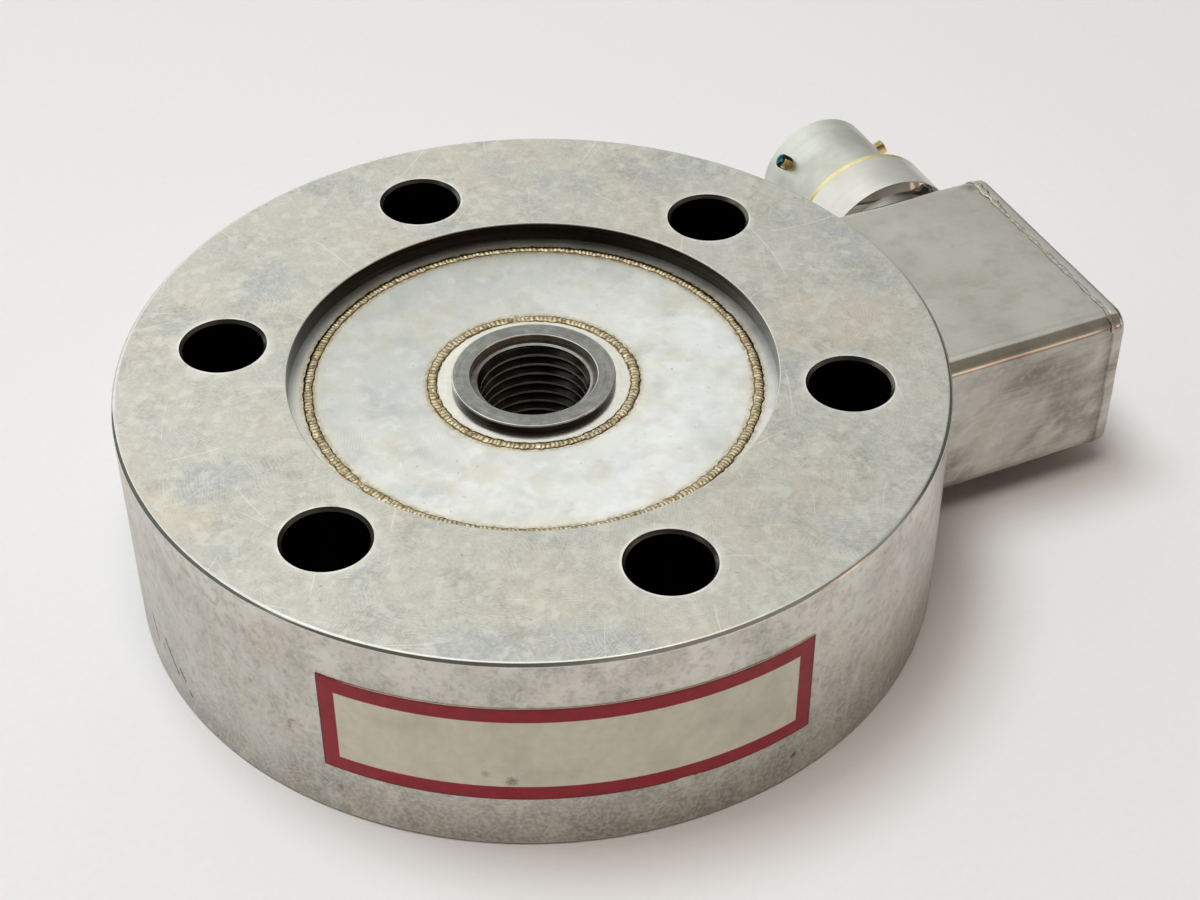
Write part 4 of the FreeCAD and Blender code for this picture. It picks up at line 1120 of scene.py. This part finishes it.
class LOADCELL_OT_covers(bpy.types.Operator):
    """Turn both covers and lay their weld beads"""
    bl_idname = "load_cell.covers"
    bl_label = "Covers"

    def execute(self, context):
        cell = context.scene.load_cell
        cover = cell.cover
        weld = weld_steel("straw_tinted_weld", "E8DAB2", "75613F", "56442C", 0.25)
        sheet_steel = bpy.data.materials["cold_rolled_stainless_sheet"]
        bead_tree = weld_bead_tree(weld)
        count, ripple_depth, rag_size, sink_length = 360, 0.07 * MM, 0.7 * MM, 0.7 * MM
        angles = [math.tau * k / count for k in range(count)]
        outward = [Vector((math.cos(angle), math.sin(angle), 0)) for angle in angles]
        beads = (("inner", cover.inner_bead, cover.inner_pitch, math.radians(77)),
                 ("outer", cover.outer_bead, cover.outer_pitch, math.radians(200)))
        for name, flip in (("upper_cover", 1), ("lower_cover", -1)):
            seat = COVER_LOW.z if flip == 1 else 2 * MIDDLE_Z - COVER_LOW.z
            top = seat + flip * cover.thickness
            loop = [(cover.inner_radius, seat), (cover.outer_radius, seat), (cover.outer_radius, top),
                    (cover.inner_radius, top)]
            sheet = turned_mesh(name, sheet_steel, cell.rim.facets, loop)
            new_piece(name + "_sheet", finished(sheet, split_slopes=True), "cover_steel", name)
            for place, radius, pitch, stop in beads:
                points = [way * radius + Vector((0, 0, top)) for way in outward]
                # The bead sinks where the welding stopped.
                gains = [1.0 - 0.9 * math.exp(-((angle - stop) * radius / sink_length) ** 2) for angle in angles]
                way_round = math.tau * radius
                sizes = {"Half width": cover.bead_half_width, "Height": cover.bead_height,
                         "Ripple pitch": way_round / round(way_round / pitch), "Ripple depth": ripple_depth,
                         "Raggedness": 0.2, "Rag size": rag_size, "Seed": radius / MM + flip}
                lay_bead(f"{name}_{place}_bead", "cover_steel", bead_tree, sizes, points, [(0, 0, flip)] * count,
                         outward, gains)
        return {"FINISHED"}


class LOADCELL_OT_connector_box(bpy.types.Operator):
    """Shape the box, its end plate and its welds"""
    bl_idname = "load_cell.connector_box"
    bl_label = "Connector Box"

    def execute(self, context):
        cell = context.scene.load_cell
        box, radius = cell.box, cell.rim.radius
        half_width, half_height = BOX_HIGH.y, BOX_HIGH.z - MIDDLE_Z
        # More points along the straight runs let the faces carry shallow dents.
        outer = self.divided(rounded_rectangle(half_width, half_height, box.corner_radius))
        inner = self.divided(rounded_rectangle(half_width - box.wall, half_height - box.wall,
                                               box.corner_radius - box.wall))
        setback, wander, lap, shoulder, stations = 0.15 * MM, 0.16 * MM, 0.24 * MM, 0.18 * MM, 18
        seam = [BOX_HIGH.x - setback + wander * (noise.noise(point * 350.0) + 1.2 * noise.noise(point * 150.0))
                for point, way in outer]

        def on_rim(point):
            return Vector((math.sqrt(radius ** 2 - point.y ** 2), point.y, point.z))

        def dented(x, point, way, sunk=0.0):
            place = Vector((x, point.y, point.z))
            swell = noise.noise(place * 110.0) + 0.5 * noise.noise(place * 260.0 + Vector((5, 0, 0)))
            return place + way * (box.dents * (swell - 0.5)) - way * sunk

        steel = tube_steel()
        spine = [on_rim(point) for point, way in outer]
        skin = [[dented(start.x + (end - lap - start.x) * (k / stations), point, way)
                 for (point, way), start, end in zip(outer, spine, seam)] for k in range(stations)]
        skin.append([dented(end, point, way, self.groove(way)) for (point, way), end in zip(outer, seam)])
        lining = [[Vector((end, point.y, point.z)) for (point, way), end in zip(inner, seam)],
                  [on_rim(point) for point, way in inner]]
        tube = loft("connector_box_tube", skin + lining)
        self.mark_seam(tube, stations, len(outer))
        tube = finished(tube, crease=40.0)
        new_piece("connector_box_tube", tube, "box_steel", "connector_box", materials=(steel,))

        plate_rings = [skin[-1], [dented(x + shoulder, point, way) for (point, way), x in zip(outer, seam)]]
        for angle in QUARTER:
            x = PLATE_HIGH.x - box.plate_rounding * (1 - math.sin(angle))
            inset = box.plate_rounding * (1 - math.cos(angle))
            plate_rings.append([dented(x, point, way, inset) for point, way in outer])
        plate = loft("end_plate", plate_rings, cap=True)
        self.mark_seam(plate, 0, len(outer))
        plate = finished(plate, crease=40.0)
        new_piece("end_plate", plate, "box_steel", "box_end_plate", materials=(steel,))

        weld = weld_steel("ground_box_weld", "D6CFC4", "A8A094", "7C7468", 0.28)
        tree = weld_bead_tree(weld)
        # What grinding left of the end weld runs over the top, from one long edge to the other.
        half_way = len(outer) // 2
        around = [(dented(x, point, way), way) for (point, way), x in zip(outer, seam)]
        around = [(point, way) for point, way in around[half_way:] + around[:half_way]
                  if point.z > BOX_HIGH.z - box.seam_reach]
        points, ways = zip(*around)
        gains = [self.seam_gain(point, k / (len(points) - 1)) for k, point in enumerate(points)]
        sizes = {"Half width": box.seam_half_width, "Height": box.seam_height, "Ripple pitch": 1.3 * MM,
                 "Ripple depth": 0.03 * MM, "Slices per ripple": 10, "Raggedness": 0.75, "Rag size": 1.6 * MM,
                 "Seed": 4.0}
        lay_bead("end_seam", "box_steel", tree, sizes, points, ways, [(1, 0, 0)] * len(points), gains, closed=False)

        ups, acrosses = [], []
        for k, (here, (point, way)) in enumerate(zip(spine, outer)):
            along = (spine[(k + 1) % len(spine)] - spine[k - 1]).normalized()
            up = (way + Vector((here.x, here.y, 0)).normalized()).normalized()
            ups.append(up)
            acrosses.append(along.cross(up).normalized())
        sizes = {"Half width": box.saddle_half_width, "Height": box.saddle_height, "Ripple pitch": 1.1 * MM,
                 "Ripple depth": 0.06 * MM, "Slices per ripple": 8, "Raggedness": 0.25, "Rag size": 2.5 * MM,
                 "Seed": 9.0}
        lay_bead("saddle_weld", "box_steel", tree, sizes, spine, ups, acrosses, [1.0] * len(spine))
        return {"FINISHED"}

    @staticmethod
    def divided(loop, longest=6.0 * MM):
        """Loop with its long straight runs divided into short steps."""
        made = []
        upright_steps, level_steps = 13, 23
        for k, (point, way) in enumerate(loop):
            after = loop[(k + 1) % len(loop)][0]
            made.append((point, way))
            if (after - point).length > longest:
                steps = upright_steps if abs(after.y - point.y) < abs(after.z - point.z) else level_steps
                made += [(point.lerp(after, j / steps), way) for j in range(1, steps)]
        return made

    @staticmethod
    def mark_seam(mesh, ring, count):
        """Mark the ring of points that lies in the seam, where the tube is drawn darker, less on the box's top."""
        layer = mesh.attributes.new("seam", "FLOAT", "POINT")
        faint_above = BOX_HIGH.z - 0.6 * MM
        for k in range(ring * count, (ring + 1) * count):
            layer.data[k].value = 1.0 if mesh.vertices[k].co.z < faint_above else 0.15

    @staticmethod
    def groove(way):
        """Depth of the seam beside the end plate, ground almost flush on the box's top."""
        return (0.16 - 0.13 * max(0.0, way.z)) * MM

    @staticmethod
    def seam_gain(point, share):
        """How much of the end weld is left: most near the connector's corner, and nothing at its two ends."""
        corner_y, reach, taper = BOX_HIGH.y - 3 * MM, 5 * MM, 14
        corner = math.exp(-((corner_y - point.y) / reach) ** 2)
        lump = 0.5 + 0.5 * noise.noise(point * 330.0)
        ends = min(1.0, taper * share, taper * (1 - share))
        return ends * (0.05 + 0.36 * lump ** 3 + 3.2 * corner * lump ** 1.5)


class LOADCELL_OT_connector(bpy.types.Operator):
    """Turn the adapter and braze ring, and set the bayonet pins and contacts"""
    bl_idname = "load_cell.connector"
    bl_label = "Connector"

    def execute(self, context):
        part = context.scene.load_cell.connector
        axis = Matrix.Translation((CONNECTOR_X, 0, MIDDLE_Z)) @ Matrix.Rotation(-math.pi / 2, 4, "X")
        adapter_steel = connector_metal("turned_connector_steel", "DCDBD4", "C6C4BB", 0.28, 6.0)
        neck_steel = connector_metal("polished_neck_steel", "B4B0A8", "8F8B83", 0.04, 3.0)
        # The neck is painted darker on the side towards the box's end, as painted shade.
        shaded_neck_steel = connector_metal("neck_steel_with_painted_shade", "B4B0A8", "8F8B83", 0.15, 3.0, "4A433B")
        wall, facets = BOX_HIGH.y, 120
        neck_end = wall + part.neck_length
        profile = eased([
            (part.spigot_radius, ADAPTER_LOW.y, 0.0),
            (part.spigot_radius, wall, 0.0),
            (part.neck_radius, wall, 0.0),
            (part.neck_radius, neck_end, 0.0),
            (part.band_radius, neck_end + part.taper_length, 0.1 * MM),
            (part.band_radius, ADAPTER_HIGH.y, 0.45 * MM),
            (part.adapter_bore, ADAPTER_HIGH.y, 0.0),
            (part.adapter_bore, ADAPTER_LOW.y, 0.0),
        ])
        adapter = finished(turned_mesh("adapter", adapter_steel, facets, profile), split_slopes=True, place=axis)
        for face in adapter.polygons:
            if wall < face.center.y < neck_end + part.taper_length:
                face.material_index = 2 if face.center.y < neck_end else 1
        new_piece("adapter_sleeve", adapter, "connector_steel", "connector_adapter",
                  materials=(neck_steel, shaded_neck_steel))
        braze = connector_metal("bright_braze", "EBDCA4", "D2B873", 0.26, 2.0)
        # The braze has crept over the band's rounded edge.
        bore, band = part.adapter_bore, part.band_radius
        bulge = eased([
            (bore, BRAZE_LOW.y, 0.0),
            (band - 0.3 * MM, BRAZE_LOW.y, 0.0),
            (band - 0.04 * MM, BRAZE_LOW.y - 0.36 * MM, 0.0),
            (band, BRAZE_LOW.y - 0.1 * MM, 0.14 * MM),
            (band, BRAZE_HIGH.y - 0.1 * MM, 0.09 * MM),
            (band - 0.2 * MM, BRAZE_HIGH.y, 0.0),
            (bore, BRAZE_HIGH.y, 0.0),
        ])
        seam = finished(turned_mesh("braze", braze, facets, bulge), crease=50.0, place=axis)
        new_piece("braze_seam", seam, "braze", "braze_ring")
        self.bayonet_pins(part, axis)
        self.contacts(part, axis)
        return {"FINISHED"}

    def bayonet_pins(self, part, axis):
        """Three dished brass rivets round the shell."""
        brass = bayonet_brass()
        foot, reach, radius = part.pin_foot, part.pin_reach, part.pin_radius
        profile = [(0.0, foot), (radius, foot), (radius, reach - 0.14 * MM), (radius - 0.06 * MM, reach - 0.03 * MM),
                   (radius - 0.16 * MM, reach), (radius * 0.68, reach - 0.05 * MM), (radius * 0.55, reach - 0.25 * MM),
                   (0.0, reach - 0.3 * MM)]
        tree, given = new_tree("bayonet_pins", {"Pins": 3, "Facets": 40, "Setback": SHELL_HIGH.y - part.pin_setback,
                                                "First angle": part.first_pin})
        pin = turn(tree, given["Geometry"], given["Facets"])
        lying = add(tree, TRANSFORM, {"Geometry": pin, "Rotation": (0, math.pi / 2, 0)})
        points, facing = polar_points(tree, given["Pins"], 1 * MM, given["First angle"])
        held = add(tree, CAPTURE, {"Geometry": points, "Facing": facing}, {"Facing": "VECTOR"})
        level = add(tree, COMBINE, {"Z": given["Setback"]})
        at_axis = add(tree, "GeometryNodeSetPosition", {"Geometry": held, "Position": level})
        pins = add(tree, INSTANCES,
                   {"Points": at_axis, "Instance": lying, "Rotation": held.outputs["Facing"]})
        end_tree(tree, pins, brass)
        mesh = finished(grown("bayonet_pins", tree, outlines("bayonet_pins", profile, closed=False)), crease=35.0)
        self.mark_dish(mesh, part)
        mesh.transform(axis)
        new_piece("bayonet_pins", mesh, "pin_brass", "bayonet_pin_1", "bayonet_pin_2", "bayonet_pin_3")

    @staticmethod
    def mark_dish(mesh, part):
        """Mark each pin's dished face for painted shade, most on the first pin, and dab paint on the first pin."""
        dish = mesh.attributes.new("dish", "FLOAT", "FACE").data
        dab = mesh.attributes.new("dab", "FLOAT", "FACE").data
        first = Matrix.Rotation(part.first_pin, 4, "Z") @ Vector((1, 0, 0))
        level = SHELL_HIGH.y - part.pin_setback
        dish_reach, dish_radius = 7.9 * MM, part.pin_radius * 0.66
        dab_reach, dab_level = 7.6 * MM, level + 0.25 * MM
        for face in mesh.polygons:
            centre = face.center
            flat = Vector((centre.x, centre.y, 0))
            way = flat.normalized()
            off = Vector((centre.x, centre.y, centre.z - level))
            off -= way * off.dot(way)
            on_first = way.dot(first) > 0.8
            dished = flat.length > dish_reach and off.length < dish_radius
            dish[face.index].value = float(dished) * (1.0 if on_first else 0.4)
            dab[face.index].value = float(on_first and centre.z > dab_level and flat.length > dab_reach)

    def contacts(self, part, axis):
        """Five domed contacts in a ring and one in the middle."""
        gold = connector_metal("gold_plated_contact", "D8B458", "B58C3A", 0.22, 1.5)
        low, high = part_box("contact_pin_1")
        radius = part.contact_radius
        profile = [(0.0, low.y), (radius, low.y)]
        profile += [(radius * math.cos(angle), high.y - radius * (1 - math.sin(angle))) for angle in QUARTER]
        tree, given = new_tree("contacts", {"Ring": 5, "Facets": 24, "Ring radius": part.contact_circle,
                                            "First angle": math.radians(-90)})
        pin = turn(tree, given["Geometry"], given["Facets"])
        points = polar_points(tree, given["Ring"], given["Ring radius"], given["First angle"])[0]
        ring = add(tree, INSTANCES, {"Points": points, "Instance": pin})
        joined = add(tree, "GeometryNodeJoinGeometry", {"Geometry": (ring, pin)})
        end_tree(tree, joined, gold)
        mesh = finished(grown("contacts", tree, outlines("contacts", profile, closed=False)), crease=40.0, place=axis)
        new_piece("contacts", mesh, "contact_gold", *[f"contact_pin_{k}" for k in range(1, 7)])


class LOADCELL_OT_label(bpy.types.Operator):
    """Lay the label on the rim"""
    bl_idname = "load_cell.label"
    bl_label = "Label"

    def execute(self, context):
        label = context.scene.load_cell.label
        radius = context.scene.load_cell.rim.radius
        outside = radius + label.thickness
        columns, rows = 160, 24
        height = LABEL_HIGH.z - LABEL_LOW.z
        work = bmesh.new()
        sheet = work.loops.layers.uv.new("label_mm")
        flat = {}
        grid = []
        for i in range(columns + 1):
            column = []
            for j in range(rows + 1):
                u, v = label.arc_length * i / columns, height * j / rows
                if j == 0:
                    v += self.chip(u / label.arc_length)
                angle = label.middle + (u - label.arc_length / 2) / radius
                vertex = work.verts.new((outside * math.cos(angle), outside * math.sin(angle), LABEL_LOW.z + v))
                flat[vertex] = (u / MM, v / MM)
                column.append(vertex)
            grid.append(column)
        for i in range(columns):
            for j in range(rows):
                work.faces.new((grid[i][j], grid[i + 1][j], grid[i + 1][j + 1], grid[i][j + 1]))
        border = bmesh.ops.extrude_edge_only(work, edges=[e for e in work.edges if e.is_boundary])
        for vertex in [part for part in border["geom"] if isinstance(part, bmesh.types.BMVert)]:
            source = next(e.other_vert(vertex) for e in vertex.link_edges if e.other_vert(vertex) in flat)
            flat[vertex] = flat[source]
            vertex.co -= Vector((vertex.co.x, vertex.co.y, 0)).normalized() * label.thickness
        bmesh.ops.contextual_create(work, geom=[e for e in work.edges if e.is_boundary])
        bmesh.ops.recalc_face_normals(work, faces=work.faces)
        for face in work.faces:
            face.smooth = True
            for loop in face.loops:
                loop[sheet].uv = flat[loop.vert]
        for e in work.edges:
            if len(e.link_faces) == 2 and e.calc_face_angle(0.0) > math.radians(40):
                e.smooth = False
        mesh = bpy.data.meshes.new("label_film")
        work.to_mesh(mesh)
        work.free()
        new_piece("label_film", mesh, "label_film", "label", materials=(label_print(label),))
        return {"FINISHED"}

    @staticmethod
    def chip(share):
        """How far the lower edge is chipped away along the label's length."""
        middle, spread, depth = 0.725, 0.03, 0.35 * MM
        chipped = math.exp(-((share - middle) / spread) ** 2)
        return chipped * depth * (0.5 + noise.noise(Vector((share * 260, 0, 0))))


class LOADCELL_OT_inner_parts(bpy.types.Operator):
    """Give every carried-over solid its finish"""
    bl_idname = "load_cell.inner_parts"
    bl_label = "Inner Parts"

    def execute(self, context):
        # Slots whose material an earlier operator has made.
        made = {
            "body_steel": "lapped_stainless_steel", "cover_steel": "cold_rolled_stainless_sheet",
            "box_steel": "drawn_stainless_tube", "connector_steel": "turned_connector_steel",
            "braze": "bright_braze", "pin_brass": "tarnished_brass", "contact_gold": "gold_plated_contact",
            "label_film": "printed_vinyl_film",
        }
        finishes = {
            **{slot: bpy.data.materials[name] for slot, name in made.items()},
            "shell_steel": connector_metal("matt_nickel_plate", "D6D7CD", "B9BAAF", 0.36, 5.0),
            "seal_glass": moulded("dark_sealing_glass", "20282A", "2C3638", 0.8, 0.12),
            "gauge_film": moulded("amber_polyimide_film", "B9812F", "A06A22", 0.7, 0.3),
            "board_laminate": moulded("epoxy_glass_laminate", "3F6B3A", "345A33", 0.5, 0.4),
            "pad_foam": moulded("adhesive_foam", "2B2B2B", "1E1E1E", 0.4, 0.9),
            "resistor_body": moulded("moulded_chip_resistor", "1C1C1E", "2A2A2C", 0.3, 0.45),
            "wire_insulation": moulded("fluoropolymer_insulation", "D6D1C4", "C4BEB0", 1.2, 0.35),
        }
        for subpart in frame["record"]["subparts"]:
            materials = NODES[subpart["node"]].data.materials
            materials.clear()
            materials.append(finishes[subpart["material_slot"]])
        return {"FINISHED"}


class LOADCELL_OT_stage(bpy.types.Operator):
    """Set the paper floor, the soft light and the camera"""
    bl_idname = "load_cell.stage"
    bl_label = "Stage"

    def execute(self, context):
        scene = context.scene
        stage = scene.load_cell.stage
        scene.view_settings.view_transform = "Standard"
        self.floor(scene, stage)
        self.light(scene, stage)
        self.card(scene)
        self.room(scene)
        self.camera(scene, stage)
        return {"FINISHED"}

    @staticmethod
    def sheet(scene, name, corners, material):
        """Flat sheet that belongs to the stage."""
        mesh = bpy.data.meshes.new(name)
        mesh.from_pydata(corners, [], [(0, 1, 2, 3)])
        mesh.materials.append(material)
        holder = bpy.data.objects.new(name, mesh)
        scene.collection.objects.link(holder)
        return holder

    def floor(self, scene, stage):
        """Sheet of white paper under the load cell."""
        material, tree, shader, point = new_material("white_cartridge_paper")
        fibre = add(tree, NOISE, {"Vector": point, "Scale": 1.2, "Detail": 4.0})
        tone = add(tree, MIX, {0: fibre, 6: list(stage.floor_colour), 7: linear("ECEDED")}, data_type="RGBA")
        bump = add(tree, "ShaderNodeBump", {"Height": fibre, "Strength": 0.05, "Distance": 0.05 * MM})
        tree.links.new(bump.outputs[0], shader.inputs["Normal"])
        finish(tree, shader, tone, 0.8, metallic=0.0)
        shader.inputs["Specular IOR Level"].default_value = 0.2
        half, level = 4.0, RIM_LOW.z - HAIR
        self.sheet(scene, "paper_floor", [(-half, -half, level), (half, -half, level), (half, half, level),
                                          (-half, half, level)], material)

    @staticmethod
    def light(scene, stage):
        """Cool soft key from behind and warm soft fill from in front; steel shows the room instead of them."""
        aim = Vector((0, 0, 0.01))
        for name, place, size, power, tint in (
                ("soft_key", (-0.12, 0.14, 0.72), 0.3, stage.key_power, (0.925, 1.0, 1.075)),
                ("soft_fill", (-0.12, -0.13, 0.71), 0.36, stage.fill_power, (1.08, 0.99, 0.91))):
            lamp = bpy.data.lights.new(name, "AREA")
            lamp.shape = "DISK"
            lamp.size = size
            lamp.color = tint
            lamp.energy = power
            holder = bpy.data.objects.new(name, lamp)
            holder.location = place
            holder.rotation_mode = "QUATERNION"
            holder.rotation_quaternion = (aim - holder.location).to_track_quat("-Z", "Y")
            holder.visible_camera = False
            holder.visible_glossy = False
            scene.collection.objects.link(holder)

    def card(self, scene):
        """Dark card on the left, that draws a dark line along the rim's polished edge and is seen in steel only."""
        material, tree, shader, point = new_material("grey_card")
        tone = clouded(tree, linear("6A6E68"), point, ("767A74", 3.0, 0.3, 0.7, 3.0, 0.0, 1.0))
        shader.inputs["Base Color"].default_value = (0.0, 0.0, 0.0, 1.0)
        shader.inputs["Emission Strength"].default_value = 1.0
        tree.links.new(tone.outputs[2], shader.inputs["Emission Color"])
        near, far, low, high = -0.08, 0.075, 0.015, 0.14
        corners = [LEFT * 0.137 + AWAY * reach + Vector((0, 0, height))
                   for reach, height in ((near, low), (far, low), (far, high), (near, high))]
        card = self.sheet(scene, "dark_card", corners, material)
        card.visible_camera = card.visible_diffuse = card.visible_shadow = False

    @staticmethod
    def room(scene):
        """Room round the table: bright overhead and behind, dim and warm on the camera's side, with low warm lamps."""
        world = bpy.data.worlds.new("studio_room")
        scene.world = world
        world.use_nodes = True
        tree = world.node_tree
        way = add(tree, "ShaderNodeTexCoord").outputs["Generated"]
        up = add(tree, SEPARATE, {0: way}).outputs["Z"]
        back = add(tree, DOT, {0: way, 1: (0.1, 0.995, 0.0)})
        left = add(tree, DOT, {0: way, 1: LEFT})
        ramps = [add(tree, RANGE, {"Value": value, "From Min": start, "From Max": end, "To Min": low, "To Max": high},
                     interpolation_type="SMOOTHSTEP")
                 for value, start, end, low, high in (
                     (back, -0.12, 0.1, 0.0, 1.0), (left, -0.4, 0.45, 0.6, 1.17), (up, 0.74, 0.9, 0.0, 1.0),
                     (left, -0.4, -0.15, 0.25, 1.0), (up, 0.5, 0.64, 1.0, 0.0), (left, -0.34, -0.48, 0.0, 0.9),
                     (up, 0.3, 0.52, 0.0, 1.0), (left, -0.35, 0.05, 1.0, 0.5))]
        behind, window, zenith, roofed, low, aside, high, shaded = ramps
        overhead = add(tree, MULTIPLY, {0: zenith, 1: roofed})
        level = add(tree, MIX, {0: overhead, 2: window, 3: 1.45})
        white = add(tree, SCALE, {0: (0.985, 1.0, 0.99), "Scale": level})
        # On the connector's side the room is dark, from the table to about 35 degrees up.
        gloom = add(tree, MULTIPLY, {0: low, 1: aside})
        sky = add(tree, MIX, {0: gloom, 6: white, 7: (0.08, 0.07, 0.06, 1.0)}, data_type="RGBA")
        shade = add(tree, SCALE, {0: (0.29, 0.265, 0.23), "Scale": shaded})
        dim = add(tree, MIX, {0: high, 6: (0.4, 0.38, 0.35, 1.0), 7: shade}, data_type="RGBA")
        seen = add(tree, MIX, {0: behind, 6: dim, 7: sky}, data_type="RGBA")
        for aim, spread, power in (
                ((0.41, -0.9, 0.15), (4.0, 4.0, 6.5), 1.4), ((0.82, -0.56, 0.12), (14.0, 14.0, 5.0), 2.6),
                ((0.71, -0.68, 0.23), (18.0, 18.0, 5.0), 1.8), ((0.79, -0.48, 0.38), (7.0, 7.0, 4.0), 1.1)):
            local = add(tree, VECTOR, {0: way, 1: aim}, operation="SUBTRACT")
            shaped = add(tree, STRETCH, {0: local, 1: spread})
            off = add(tree, VECTOR, {0: shaped}, operation="LENGTH")
            lamp = add(tree, RANGE, {"Value": off, "From Min": 1.0, "From Max": 0.5, "To Min": 0.0, "To Max": power},
                       interpolation_type="SMOOTHSTEP")
            warm = add(tree, SCALE, {0: linear("DDB096")[:3], "Scale": lamp})
            seen = add(tree, VECTOR, {0: warm, 1: seen})
        # Matt surfaces are lit evenly from each side, and the camera sees a plain backdrop.
        ray = add(tree, "ShaderNodeLightPath").outputs
        ambient = add(tree, MIX, {0: behind, 6: (0.07, 0.05, 0.036, 1.0), 7: (0.33, 0.294, 0.26, 1.0)},
                      data_type="RGBA")
        lit = add(tree, MIX, {0: ray["Is Diffuse Ray"], 6: seen, 7: ambient}, data_type="RGBA")
        shown = add(tree, MIX, {0: ray["Is Camera Ray"], 6: lit, 7: linear("E6E7E4")}, data_type="RGBA")
        tree.links.new(shown.outputs[2], tree.nodes["Background"].inputs["Color"])

    @staticmethod
    def camera(scene, stage):
        """Camera at the place and angle that fit the outlines seen from the front."""
        camera = bpy.data.objects.new("camera", bpy.data.cameras.new("camera"))
        camera.data.lens = stage.lens
        camera.data.sensor_width = 36.0
        camera.data.clip_start = 0.01
        right = Vector((0.91079, -0.41287, -0.00117))
        up = Vector((0.26904, 0.59133, 0.76023))
        back = Vector((-0.31318, -0.69273, 0.64965))
        eye = Vector((-71.54, -175.43, 175.15)) * MM
        camera.matrix_world = Matrix.Translation(eye) @ Matrix((right, up, back)).transposed().to_4x4()
        scene.collection.objects.link(camera)
        scene.camera = camera


class LOADCELL_PT_pieces(bpy.types.Panel):
    """Pieces of the load cell, in building order"""
    bl_idname = "LOADCELL_PT_pieces"
    bl_label = "Load Cell"
    bl_space_type = "VIEW_3D"
    bl_region_type = "UI"
    bl_category = "Load Cell"

    def draw(self, context):
        cell = context.scene.load_cell
        for operator in OPERATORS:
            self.layout.operator(operator.bl_idname)
        for group in (cell.rim, cell.hub, cell.cover, cell.box, cell.connector, cell.label, cell.stage):
            column = self.layout.column(align=True)
            for name in group.__annotations__:
                column.prop(group, name)


OPERATORS = (LOADCELL_OT_sensing_element, LOADCELL_OT_hub_thread, LOADCELL_OT_covers, LOADCELL_OT_connector_box,
             LOADCELL_OT_connector, LOADCELL_OT_label, LOADCELL_OT_inner_parts, LOADCELL_OT_stage)
CLASSES = (RimSettings, HubSettings, CoverSettings, BoxSettings, ConnectorSettings, LabelSettings, StageSettings,
           LoadCellSettings, *OPERATORS, LOADCELL_PT_pieces)


def register():
    for cls in CLASSES:
        bpy.utils.register_class(cls)
    bpy.types.Scene.load_cell = PointerProperty(type=LoadCellSettings)


def unregister():
    del bpy.types.Scene.load_cell
    for cls in reversed(CLASSES):
        bpy.utils.unregister_class(cls)


def main():
    """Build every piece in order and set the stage."""
    register()
    bpy.ops.load_cell.sensing_element()
    bpy.ops.load_cell.hub_thread()
    bpy.ops.load_cell.covers()
    bpy.ops.load_cell.connector_box()
    bpy.ops.load_cell.connector()
    bpy.ops.load_cell.label()
    bpy.ops.load_cell.inner_parts()
    bpy.ops.load_cell.stage()


if __name__ == "__main__":
    main()
